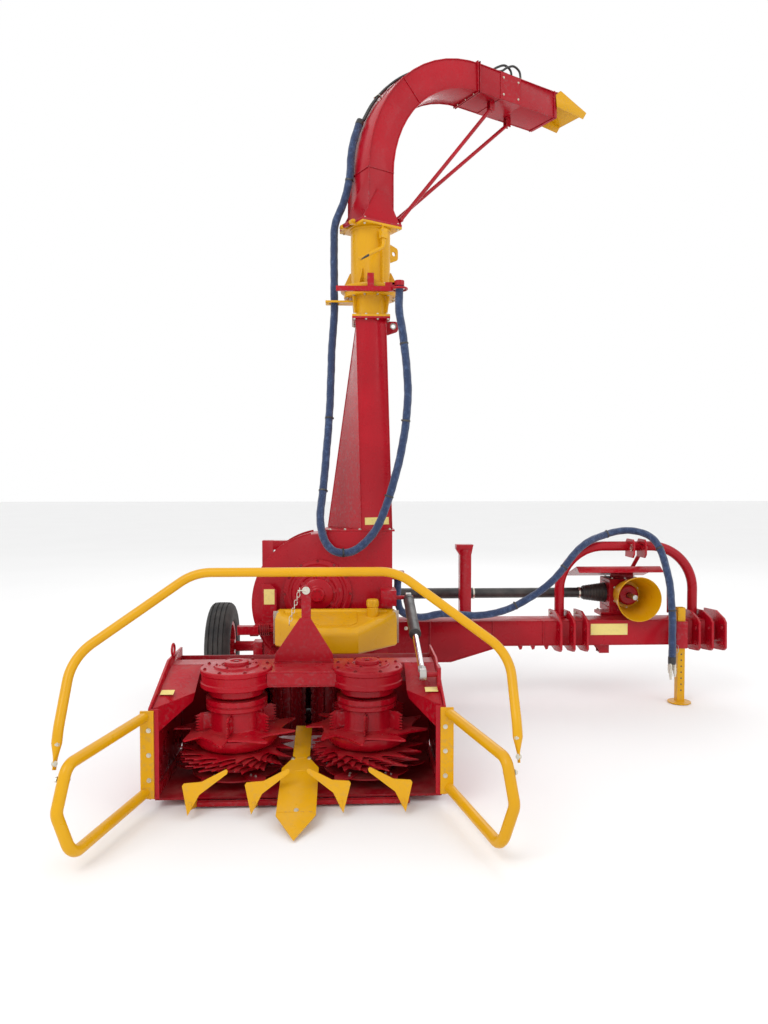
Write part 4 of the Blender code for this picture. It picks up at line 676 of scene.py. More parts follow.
def drums():
    """Feed drums: serrated strips, a big star disc, a bowl and a stack of thin toothed discs."""
    for side, x in DRUM_X.items():
        centre = (x, DRUM_Y)
        body = Shape()
        body.turned([(0.0005, 0.112), (0.149, 0.112), (0.1495, 0.204), (0.168, 0.208), (0.188, 0.222),
                     (0.2015, 0.244), (0.2045, 0.266), (0.2045, 0.272), (0.19, 0.276), (0.16, 0.286),
                     (0.133, 0.2935),
                     (0.1295, 0.3), (0.1295, 0.38), (0.133, 0.3845), (0.1455, 0.388), (0.1455, 0.404),
                     (0.139, 0.407), (0.139, 0.411), (0.1455, 0.414), (0.1455, 0.4375),
                     (0.0005, 0.4375)],
                    (x, DRUM_Y, 0), sides=80)
        body.rod((x, DRUM_Y, 0.43), (x, DRUM_Y, 0.468), 0.03)
        body.plate(toothed(centre, 9, 0.222, 0.2975, 0.58, 0.05), "Z", 0.2805, 0.2885)
        turn = -1 if side == "left" else 1
        for k, z in enumerate((0.2, 0.187, 0.174, 0.161, 0.148)):
            radius = 0.2715 - 0.0015 * k
            outline = [(x + turn * (a - x), b) for a,
                       b in toothed(centre, 16, radius - 0.062, radius, 0.66, 0.03)]
            body.place = about(x, DRUM_Y, 7 * k) @ Matrix.Translation((-x, -DRUM_Y, 0))
            body.plate(outline, "Z", z - 0.0025, z + 0.0025)
        for k in range(6):
            body.place = about(x, DRUM_Y, 60 * k + 25)
            teeth = [(0.12, 0.29), (0.176, 0.29)]
            for i in range(6):
                z = 0.291 + 0.0135 * i
                teeth += [(0.1995, z + 0.0035), (0.1995, z + 0.006), (0.18, z + 0.013)]
            teeth += [(0.176, 0.3755), (0.12, 0.3755)]
            body.plate(teeth, "Y", -0.004, 0.004)
            body.bar((0.128, 0.012, 0.335), (0.165, 0.004, 0.335), 0.006, 0.07)
        body.finish(f"feed_drum_{side}", "red", f"drum_{side}_body", [f"drum_{side}"], bevel=0.0006,
                    segments=1)
        bolts = Shape()
        for a, b in ring_of(9, centre, 0.178, 12):
            bolts.bolt((a, b, 0.2805), UP, 0.007, 0.006)
        bolts.finish(f"star_bolts_{side}", "zinc", f"drum_{side}_body", bevel=0)


def knives():
    """Knife discs: six hooked blades bolted under a round hub."""
    for side, x in DRUM_X.items():
        disc = Shape()
        disc.plate(circle((x, DRUM_Y), 0.212, 72), "Z", 0.0885, 0.0955)
        disc.turned([(0.0005, 0.0465), (0.072, 0.0465), (0.0795, 0.052), (0.0795, 0.096),
                     (0.076, 0.1035),
                     (0.0005, 0.1035)], (x, DRUM_Y, 0), sides=64)
        disc.finish(f"knife_hub_{side}", "dark_red", f"knife_disc_{side}_body", [f"knife_disc_{side}"],
                    bevel=0.001)
        blades = Shape()
        turn = -1 if side == "left" else 1
        for k in range(6):
            blade = [(0.15, -0.03), (0.224, -0.052), (0.262, -0.03), (0.289, 0.012), (0.262, 0.0),
                     (0.24, 0.02), (0.214, 0.034), (0.15, 0.03)]
            blades.place = about(x, DRUM_Y, 60 * k)
            blades.plate([(a, turn * b) for a, b in blade], "Z", 0.0958, 0.1)
        blades.finish(f"knife_blades_{side}", "red", f"knife_disc_{side}_body", bevel=0.0008,
                      segments=1)
        bolts = Shape()
        for k in range(6):
            for reach, off in ((0.168, 0.0), (0.195, 0.012)):
                angle = math.radians(60 * k) + off / reach
                bolts.bolt((x + reach * math.cos(angle), DRUM_Y + reach * math.sin(angle), 0.1001), UP,
                           0.006, 0.005)
        bolts.finish(f"knife_bolts_{side}", "steel", f"knife_disc_{side}_body", bevel=0)


def front_plates():
    """Bolts and ribs on the centre plate and the dividers, and the sign plate's pin and chain."""
    slope = Matrix.Translation((0, 0, 0.1112)) @ Matrix.Rotation(math.atan(0.3), 4, "X")
    bolts = Shape(slope)
    for x, y in ((-0.038, 0.195), (0.038, 0.195), (0.0, -0.16)):
        bolts.bolt((x, y, 0), UP, 0.0085, 0.005)
    bolts.finish("centre_plate_bolts", "zinc", "header", bevel=0)
    fold = Shape(slope)
    fold.box((-0.08, -0.172, -0.0003), (0.08, -0.168, 0.0012))
    fold.box((-0.039, 0.196, -0.0003), (0.039, 0.199, 0.0015))
    fold.finish("centre_plate_seams", "yellow", "header", bevel=0.0004, segments=1)
    fingers()
    heads = Shape()
    for x in (-0.463, -0.19, 0.19, 0.463):
        heads.bolt((x, 0.0435, 0.03), UP, 0.0065, 0.0045)
    heads.finish("divider_bolts", "zinc", "header", bevel=0)
    ring = Shape()
    for k in range(9):
        centre = Vector((-0.02 - 0.0145 * k * 0.45, 0.433, 0.925 - 0.02 * k))
        loop = []
        for i in range(16):
            a = 2 * math.pi * i / 16
            flat = (0.0075 * math.cos(a), 0.0, 0.0135 * math.sin(a))
            edge = (0.0, 0.0075 * math.cos(a), 0.0135 * math.sin(a))
            loop.append(centre + Vector(flat if k % 2 else edge))
        ring.tube(loop, 0.0036, 3, cyclic=True)
    ring.finish("pin_chain", "zinc", "header", bevel=0)
    pin = Shape()
    pin.rod((0.011, 0.432, 0.925), (0.011, 0.4385, 0.925), 0.02, sides=32)
    pin.rod((0.011, 0.429, 0.925), (0.011, 0.433, 0.925), 0.009, sides=24)
    pin.rod((-0.03, 0.43, 0.925), (0.011, 0.43, 0.925), 0.0035, sides=16)
    pin.finish("post_pin", "zinc", "header", bevel=0.0006)
    board = Shape()
    low_z = 0.5653
    board.plate([(-0.1498, low_z), (0.1498, low_z), (0.142, 0.61), (0.033, 0.788), (-0.02, 0.788),
                 (-0.142, 0.61)], "Y", 0.43, 0.4358)
    board.box((-0.1498, 0.419, low_z), (0.1498, 0.432, low_z + 0.004))
    board.box((-0.012, 0.434, low_z), (0.034, 0.47, 0.91))
    board.rod((0.011, 0.438, 0.92), (0.011, 0.466, 0.92), 0.03, sides=40)
    board.finish("blank_sign", "red", "header", ["sign_plate"], bevel=0.0016)
    web = Shape()
    web.plate([(-0.142, 0.57), (0.142, 0.57), (0.134, 0.5765), (-0.134, 0.5765)], "Y", 0.427, 0.43)
    web.bar((-0.11, 0.446, 0.57), (-0.02, 0.446, 0.69), 0.012, 0.006)
    web.bar((0.11, 0.446, 0.57), (0.036, 0.446, 0.7), 0.012, 0.006)
    web.finish("sign_plate_webs", "red", "header", bevel=0.0008)


def fingers():
    """Four bent fingers with a crop arm each, their stems, and the red bar under the pan."""
    made = Shape()
    for tip, lean in ((-0.473, 1), (-0.2, 1), (0.2, -1), (0.473, -1)):
        outline = [(0.0, 0.022), (0.045, 0.1), (0.16, 0.177), (0.163, 0.188), (0.155, 0.195),
                   (0.05, 0.148), (-0.026, 0.143), (-0.033, 0.134)]
        sheet = []
        for off in (-0.0038, 0.0038):
            sheet.append([Vector((tip + lean * a, -0.1 + off + 0.45 * b, b)) for a, b in outline])
        made.skin(sheet)
        stem = tip + lean * 0.01
        made.bar((stem, -0.08, 0.06), (stem, 0.04, 0.0225), 0.012, 0.0298)
    made.finish("crop_fingers", "yellow", "header", bevel=0.0012)
    bar = Shape()
    bar.box((-0.5, 0.0282, 0.0102), (0.5, 0.0578, 0.0295))
    bar.finish("finger_bar", "red", "header", ["dividers"], bevel=0.003)


# ---------------------------------------------------------------- chopper
ROLLER_X, ROLLER_Y = 0.112, 0.815
HOUSING_X, HOUSING_Z = 0.07, 0.74       # the round housing's centre


def feed_rollers():
    """Feed rollers with notched ribs."""
    for side, sign in SIDES.items():
        x, y = sign * ROLLER_X, ROLLER_Y
        body = Shape()
        lower, upper = 0.1145, 0.4655
        body.turned(rectangle(0.0005, 0.0755, lower, upper), (x, y, 0), sides=48)
        for k in range(10):
            body.place = about(x, y, 36 * k)
            edge = [(0.07, lower)]
            steps = 9
            for i in range(steps):
                z = lower + (upper - lower) * i / steps
                edge += [(0.0978, z + 0.001), (0.0978, z + 0.026), (0.09, z + 0.031), (0.09, z + 0.037)]
            edge += [(0.07, upper)]
            body.plate([(r, min(z, upper)) for r, z in edge], "Y", -0.004, 0.004)
        body.place = Matrix.Identity(4)
        body.rod((x, y, 0.091), (x, y, 0.4915), 0.0178)
        body.finish(f"feed_roller_{side}_ribbed", "dark_red", f"feed_roller_{side}_body",
                    [f"feed_roller_{side}"], bevel=0)


def box_details():
    """Flanges, bolts and bearing housings on the feed box."""
    made = Shape()
    for x in (-ROLLER_X, ROLLER_X):
        made.turned([(0.0195, 0.4803), (0.052, 0.4803), (0.05, 0.488), (0.034, 0.49), (0.032, 0.497),
                     (0.0195, 0.497)], (x, ROLLER_Y, 0), sides=40)
    for z in (0.2, 0.33):
        for sign in (-1, 1):
            made.bar((sign * 0.2425, 0.9, z), (sign * 0.2425, 1.2, z), 0.005, 0.02)
    made.finish("feed_box_bearings", "red", "root", bevel=0.0012)
    panel = Shape()
    panel.box((-0.2315, 1.19, 0.1083), (0.2315, 1.195, 0.3715))
    for x in (-0.14, 0.0, 0.14):
        panel.box((x - 0.004, 1.176, 0.109), (x + 0.004, 1.1905, 0.37))
    panel.finish("feed_box_back_panel", "dark_red", "root", bevel=0.001)
    bolts = Shape()
    for x in (-ROLLER_X, ROLLER_X):
        for a, b in ring_of(4, (x, ROLLER_Y), 0.043, 45):
            bolts.bolt((a, b, 0.4885), UP, 0.006, 0.005)
    bolts.finish("feed_box_bolts", "zinc", "root", bevel=0)


TANK_FALL = 0.215                       # how steeply the tank's top falls to the front
TANK_BACK = 1.1148
FILLER_X, FILLER_Y = 0.36, 1.01


def tank_shell():
    """A moulded tank whose top falls to the front, with a recessed field, a filler and its cap."""
    outline = [(-0.2, TANK_BACK), (-0.2, 1.0), (0.035, 0.765), (0.275, 0.765), (0.5, 1.0), (0.5, TANK_BACK)]
    body = Shape()
    lower, upper = 0.5255, 0.7345
    levels = [(0.01, lower), (0.0, lower + 0.01), (0.0, upper - 0.034), (0.006, upper - 0.016),
              (0.02, upper - 0.004), (0.032, upper), (0.046, upper), (0.052, upper - 0.004),
              (0.056, upper - 0.011),
              (0.066, upper - 0.0125)]
    rings = []
    for pull, z in levels:
        drop = TANK_FALL if z > 0.65 else 0.0
        rings.append([Vector((a, b, z - drop * (TANK_BACK - b))) for a, b in shrunk(outline, pull)])
    body.skin(rings)
    body.box((-0.0598, 0.8402, 0.4806), (0.0598, 0.9998, 0.53))
    body.box((0.15, 0.7655, 0.49), (0.205, 0.8, 0.53))
    body.finish("tank_shell", "yellow", "root", ["tank"], bevel=0.004, segments=3, angle=28)
    cap = Shape()
    cap.turned([(0.0005, 0.69), (0.0335, 0.69), (0.0335, 0.742), (0.0298, 0.744), (0.0298, 0.75),
                (0.034, 0.752), (0.034, 0.786), (0.031, 0.7925), (0.0005, 0.7925)], (FILLER_X, FILLER_Y, 0),
               sides=48)
    for k in range(12):
        angle = math.radians(30 * k)
        spot = Vector((FILLER_X + 0.0335 * math.cos(angle), FILLER_Y + 0.0335 * math.sin(angle), 0))
        cap.rod(spot + Vector((0, 0, 0.756)), spot + Vector((0, 0, 0.784)), 0.0024, sides=10)
    cap.finish("tank_cap", "yellow", "root", bevel=0.0008)
    slope = Matrix.Identity(4)
    slope[2][1], slope[2][3] = TANK_FALL, -TANK_FALL * TANK_BACK
    lid = Shape(slope)
    lid.plate([(-0.08, 1.07), (-0.08, 1.01), (0.07, 0.86), (0.235, 0.86), (0.27, 0.9), (0.27, 1.07)],
              "Z", 0.7215, 0.7265)
    lid.finish("tank_lid", "yellow", "root", bevel=0.002)
    straps = Shape()
    for x in (-0.199, 0.499):
        straps.bar((x, 1.06, 0.53), (x, 1.06, 0.72), 0.03, 0.003)
    straps.finish("tank_straps", "zinc", "root", bevel=0.0006)


def shrunk(corners, distance):
    """An outline moved inwards."""
    moved = []
    count = len(corners)
    area = sum(a[0] * b[1] - b[0] * a[1] for a, b in zip(corners, [*corners[1:], corners[0]]))
    sense = 1 if area > 0 else -1
    for i in range(count):
        a, b, c = (Vector(corners[k % count]) for k in (i - 1, i, i + 1))
        first, second = (b - a).normalized(), (c - b).normalized()
        normal, other = Vector((-first.y, first.x)) * sense, Vector((-second.y, second.x)) * sense
        moved.append(b + (normal + other) * distance / (1 + normal.dot(other)))
    return [(p.x, p.y) for p in moved]


def housing_details():
    """The chopper housing's cover with its rings, the rim bolts and the knife-access plate."""
    x, y, z = 0.036, high("housing_cover").y, 0.8
    r = 0.2045
    cover = Shape()
    rim = [(0.0005, 0.0), (0.0005, -0.0845), (0.036, -0.0845), (0.043, -0.08), (0.047, -0.066),
           (0.06, -0.06),
           (0.086, -0.058), (0.093, -0.053), (0.096, -0.038), (0.11, -0.0355), (0.116, -0.04),
           (0.126, -0.04),
           (0.132, -0.0345), (0.15, -0.0335), (0.154, -0.028), (0.158, -0.02), (0.17, -0.0185),
           (0.176, -0.0215),
           (0.184, -0.0215), (0.19, -0.0178), (r, -0.017), (r, 0.0)]
    cover.turned(rim, (x, y, z), "Y", 96)
    for k in range(8):
        angle = math.radians(45 * k + 10)
        a, b = math.cos(angle), math.sin(angle)
        cover.bar((x + 0.05 * a, y - 0.05, z + 0.05 * b), (x + 0.148 * a, y - 0.03, z + 0.148 * b),
                  0.007, 0.022)
    cover.finish("housing_cover_ribbed", "red", "root", ["housing_cover"], bevel=0.0012)
    bolts = Shape()
    for a, b in ring_of(12, (x, z), 0.196):
        bolts.bolt((a, y - 0.0172, b), FRONT, 0.0065, 0.006)
    for a, b in ring_of(6, (x, z), 0.026):
        bolts.bolt((a, y - 0.0844, b), FRONT, 0.004, 0.003)
    for a, b in ring_of(14, (HOUSING_X, HOUSING_Z), 0.404, 8):
        if b < 0.98 or a < 0.05:
            bolts.bolt((a, high("chopper_housing").y + 0.0001, b), BACK, 0.008, 0.007)
    bolts.finish("housing_bolts", "dark_red", "root", bevel=0)
    skin = Shape()
    for y0, y1 in ((1.2201, 1.232), (1.548, 1.5599)):
        ring = rectangle(0.41, 0.4295, y0, y1)
        band = []
        for k in range(73):
            angle = math.radians(100 + 250 * k / 72)
            a, b = math.cos(angle), math.sin(angle)
            band.append([Vector((HOUSING_X + radius * a, y, HOUSING_Z + radius * b)) for radius, y in ring])
        skin.skin(band)
    skin.finish("housing_rims", "red", "root", bevel=0.0008)


def side_fittings():
    """Left of the tank: a bracket plate with a blank label, a square bar, and a spring with its rod."""
    plate = Shape()
    plate.plate([(-0.29, 0.63), (-0.205, 0.63), (-0.205, 0.83), (-0.24, 0.865), (-0.29, 0.865)], "Y",
                1.15, 1.156)
    plate.box((-0.29, 1.156, 0.64), (-0.284, 1.2195, 0.86))
    plate.box((-0.33, 1.12, 0.6), (-0.2025, 1.2195, 0.632))
    plate.box((-0.36, 1.128, 0.56), (-0.31, 1.178, 0.604))
    plate.finish("valve_bracket", "red", "root", bevel=0.0015)
    label = Shape()
    label.box((-0.278, 1.1488, 0.745), (-0.216, 1.15, 0.835))
    label.finish("bracket_label", "label", "root", bevel=0)
    bar = Shape()
    bar.bar((-0.42, 1.09, 0.605), (-0.3, 1.09, 0.605), 0.05, 0.05)
    bar.bar((-0.424, 1.09, 0.605), (-0.418, 1.09, 0.605), 0.056, 0.056)
    bar.bar((-0.31, 1.09, 0.605), (-0.202, 1.09, 0.605), 0.022, 0.022)
    bar.bar((-0.212, 1.09, 0.605), (-0.212, 1.219, 0.605), 0.046, 0.046)
    bar.finish("square_bar", "red", "root", bevel=0.003)
    coil = Shape()
    turns, steps = 5, 30
    route = []
    for i in range(turns * steps + 1):
        a = 2 * math.pi * i / steps
        route.append((-0.296 + 0.058 * i / (turns * steps), 1.09 + 0.029 * math.cos(a),
                      0.605 + 0.029 * math.sin(a)))
    coil.tube(route, 0.0085, 4)
    coil.finish("tension_spring", "dark_red", "root", bevel=0)


def lift_cylinder():
    """The header's lift cylinder: a gland, a port, a chrome rod and two eyes."""
    start, end = Vector((0.572, 1.09, 0.79)), Vector((0.572, 0.18, 0.56))
    along = (end - start).normalized()
    barrel = Shape()
    for radius, first, last in ((0.03, 0.02, 0.5), (0.0318, 0.47, 0.4995), (0.0318, 0.04, 0.058)):
        barrel.rod(start + along * first, start + along * last, radius, sides=56)
    barrel.finish("lift_cylinder_barrel", "black", "lift_barrel_body", ["lift_barrel"], bevel=0.0015)
    eye = Shape()
    eye.turned(rectangle(0.0135, 0.0278, -0.0158, 0.0158), tuple(start), "X", 56)
    eye.rod(start + along * 0.05, start + along * 0.05 + Vector((0, -0.006, 0.03)), 0.008)
    eye.finish("lift_cylinder_eye", "steel", "lift_barrel_body", bevel=0.001)
    piston = Shape()
    piston.rod(start + along * 0.16, end - along * 0.06, 0.0158, sides=56)
    piston.finish("lift_cylinder_rod", "chrome", "lift_rod_body", ["lift_rod"], bevel=0.001)
    fork = Shape()
    fork.turned(rectangle(0.0162, 0.0278, -0.0158, 0.0158), tuple(end), "X", 56)
    fork.rod(end - along * 0.062, end - along * 0.024, 0.0205, sides=6)
    fork.finish("lift_rod_eye", "steel", "lift_rod_body", bevel=0.0012)
    pins = Shape()
    pins.rod(Vector((0.5885, *start.yz)), Vector((0.5995, *start.yz)), 0.0118)
    pins.finish("lift_pin_cap", "zinc", "root", bevel=0.001)


# ---------------------------------------------------------------- tower and turret
SLEW_X, SLEW_Y = 0.36, 1.42
HEADING = math.radians(30)


def slewed(angle):
    """A turn about the turret's upright axis."""
    return (Matrix.Translation((SLEW_X, SLEW_Y, 0)) @ Matrix.Rotation(angle, 4, "Z")
            @ Matrix.Translation((-SLEW_X, -SLEW_Y, 0)))


TURNED = slewed(HEADING)


def tower_details():
    """Weld seams, flange bolts, a side sheet, the blank plates and a lug ring on the tower."""
    corners = {"front_right": ((0.485, 1.26), (0.45, 1.31)), "front_left": ((0.3, 1.26), (0.27, 1.31)),
               "back_left": ((0.09, 1.555), (0.27, 1.53))}
    seam = Shape()
    for (a, b), (c, d) in corners.values():
        route = [Vector((a, b, 1.182)).lerp(Vector((c, d, 2.456)), k / 10) for k in range(11)]
        seam.tube(route, 0.0065, 3)
    seam.finish("tower_seams", "red", "root", bevel=0)
    bolts = Shape()
    for x in (0.26, 0.33, 0.4, 0.462):
        for y in (1.2965, 1.5435):
            bolts.bolt((x, y, 2.4825), UP, 0.0075, 0.006)
            bolts.bolt((x, y, 2.4578), DOWN, 0.0075, 0.006)
    for y in (1.36, 1.42, 1.48):
        for x in (0.2565, 0.4635):
            bolts.bolt((x, y, 2.4578), DOWN, 0.0075, 0.006)
    for x in (0.11, 0.2, 0.29, 0.38, 0.47):
        bolts.bolt((x, 1.2415, 1.1802), UP, 0.0085, 0.007)
    bolts.finish("tower_bolts", "zinc", "root", bevel=0)
    side = tower_side()
    plate = Shape(side)
    plate.box((-0.065, -0.095, 0.0002), (0.065, 0.095, 0.0014))
    plate.finish("tower_label", "label", "root", bevel=0)
    inner = Shape(side)
    inner.turned(rectangle(0.0005, 0.04, 0.0014, 0.002), (0, 0.015, 0), sides=40)
    inner.box((-0.05, -0.082, 0.0014), (0.05, -0.045, 0.002))
    inner.finish("tower_label_field", "pale", "root", bevel=0)
    name = Shape(tower_face())
    name.box((-0.07, 0.04, 0.0002), (0.075, 0.084, 0.0012))
    name.finish("tower_name_blank", "label", "root", bevel=0)
    lug = Shape()
    lug.turned(rectangle(0.012, 0.02, -0.006, 0.006), (0.5, 1.406, 2.432), "Y", 32)
    lug.finish("tower_lug_ring", "zinc", "root", bevel=0.0006)


def tower_side():
    """Closes the tower's left side with a sheet, and gives that sheet's place for a label."""
    rings = []
    for k in range(13):
        share = k / 12
        z = 1.185 + 1.268 * share
        front = Vector((0.3, 1.26, z)).lerp(Vector((0.27, 1.31, z)), share)
        back = Vector((0.09, 1.555, z)).lerp(Vector((0.27, 1.53, z)), share)
        out = (front - back).cross(Vector((0, 0, 1))).normalized() * 0.003
        rings.append([front, back, back - out, front - out])
    sheet = Shape()
    sheet.skin(rings)
    sheet.finish("tower_side_sheet", "red", "root", bevel=0)
    lower = rings[1][3].lerp(rings[1][2], 0.36)
    upper = rings[3][3].lerp(rings[3][2], 0.36)
    up = (upper - lower).normalized()
    out = (rings[2][3] - rings[2][2]).cross(up).normalized() * -1
    across = up.cross(out)
    centre = (lower + upper) / 2 + out * 0.0015
    return placed(across, up, out, centre)


def placed(across, up, out, centre):
    matrix = Matrix((across, up, out)).transposed().to_4x4()
    matrix.translation = centre
    return matrix


def tower_face():
    """The tower's front face: x across it, y up it and z out of it."""
    lower = (Vector((0.3, 1.26, 1.17)) + Vector((0.485, 1.26, 1.17))) / 2
    upper = (Vector((0.27, 1.31, 2.47)) + Vector((0.45, 1.31, 2.47))) / 2
    up = (upper - lower).normalized()
    across = Vector((1, 0, 0))
    out = across.cross(up).normalized()
    return placed(up.cross(out), up, out, lower)


def turret_details():
    """Bolted flanges, ribs, the slewing ring's cover and the clamp on the yellow turret."""
    ring = Shape()
    ring.turned(rectangle(0.158, 0.1645, 2.6035, 2.6335), (SLEW_X, SLEW_Y, 0), sides=80)
    ring.finish("slew_ring_edge", "yellow", "root", bevel=0.001)
    bolts = Shape()
    for a, b in ring_of(12, (SLEW_X, SLEW_Y), 0.148, 15):
        bolts.bolt((a, b, 2.6015), DOWN, 0.0075, 0.006)
    bolts.finish("slew_ring_bolts", "zinc", "root", bevel=0)
    webs = Shape()
    for angle in (45, 135, 225, 315):
        a, b = math.cos(math.radians(angle)), math.sin(math.radians(angle))
        near, far = 0.128, 0.156 - 0.012
        webs.bar((SLEW_X + near * a, SLEW_Y + near * b, 2.5), (SLEW_X + far * a, SLEW_Y + far * b, 2.6),
                 0.007, 0.026)
    webs.finish("turret_webs", "yellow", "root", bevel=0.001)
    skin = Shape(TURNED)
    skin.turned([(0.1222, 2.6625), (0.127, 2.6625), (0.127, 2.674), (0.1222, 2.68)],
                (SLEW_X, SLEW_Y, 0), sides=80)
    skin.turned([(0.1222, 3.0155), (0.129, 3.0155), (0.129, 3.008), (0.1222, 3.0)], (SLEW_X, SLEW_Y, 0),
                sides=80)
    for angle in (35, 145, 215, 325, 0):
        skin.place = TURNED @ about(SLEW_X, SLEW_Y, angle)
        skin.plate([(0.121, 2.6622), (0.176, 2.6622), (0.17, 2.672), (0.128, 2.76), (0.121, 2.76)], "Y",
                   -0.003, 0.003)
    skin.finish("column_ribs", "yellow", "turret", bevel=0.001)
    bolts = Shape(TURNED)
    for a, b in ring_of(10, (SLEW_X, SLEW_Y), 0.16, 18):
        bolts.bolt((a, b, 2.6622), UP, 0.0075, 0.006)
    for a in (-0.118, 0.0, 0.118):
        for b in (-0.125, 0.125):
            bolts.bolt((SLEW_X + a, SLEW_Y + b, 3.0158), DOWN, 0.007, 0.006)
    bolts.finish("column_bolts", "zinc", "turret", bevel=0)
    lever = Shape(TURNED)
    y = SLEW_Y - 0.165
    lever.tube(filleted([(SLEW_X - 0.01, y, 2.958), (SLEW_X - 0.01, y, 2.88),
                         (SLEW_X - 0.2, y - 0.03, 2.77)],
                        0.04), 0.0215, 8)
    lever.box((SLEW_X - 0.03, SLEW_Y - 0.18, 2.93), (SLEW_X + 0.01, SLEW_Y - 0.1455, 2.985))
    lever.finish("clamp_lever", "yellow", "turret", ["latch_lever"], bevel=0.002)
    knob = Shape(TURNED)
    tip, root = Vector((SLEW_X - 0.196, y - 0.0294, 2.7722)), Vector((SLEW_X - 0.13, y - 0.019, 2.81))
    knob.rod(root, tip, 0.0108, 0.0106, sides=32)
    knob.finish("clamp_grip", "black", "turret", bevel=0.002)
    arm = Shape(TURNED @ slewed(-HEADING))
    arm.bar((0.15, 1.2, 2.612), (0.485, 1.2, 2.612), 0.0215, 0.0295)
    arm.box((0.3355, 1.1925, 2.6005), (0.3745, 1.2115, 2.7045))
    arm.box((0.3355, 1.1955, 2.6805), (0.3745, 1.2935, 2.7035))
    eye = [(a, b, 2.612) for a, b in circle((0.525, 1.2), 0.045, 48)]
    arm.tube(eye, 0.0138, 5, cyclic=True)
    arm.rod((0.525, 1.2, 2.6285), (0.525, 1.2, 2.6598), 0.0298, sides=48)
    arm.box((0.4405, 1.1905, 2.6225), (0.4975, 1.2095, 2.6495))
    arm.box((0.4805, 1.1905, 2.6325), (0.5295, 1.2095, 2.6495))
    arm.finish("hose_arm", "red", "turret", ["hose_guide"], bevel=0.002)


# ---------------------------------------------------------------- spout
BEND_START, BEND_RADIUS = 3.34, 0.77
ARM_Z = BEND_START + BEND_RADIUS
BEND_STEPS = 14                          # facets of the duct's bend
COLUMN_TOP = 3.03
ROOF = ARM_Z + 0.085


def over_bend(angle, y, lift):
    """A place outside the spout's bend, at an angle from its lower end."""
    return on_bend(angle, y, BEND_RADIUS + 0.085 + lift)


def on_bend(angle, y, reach):
    """A place on an arc about the bend's centre."""
    turn = math.radians(angle)
    return (SLEW_X + BEND_RADIUS - reach * math.cos(turn), SLEW_Y + y,
            BEND_START + reach * math.sin(turn))


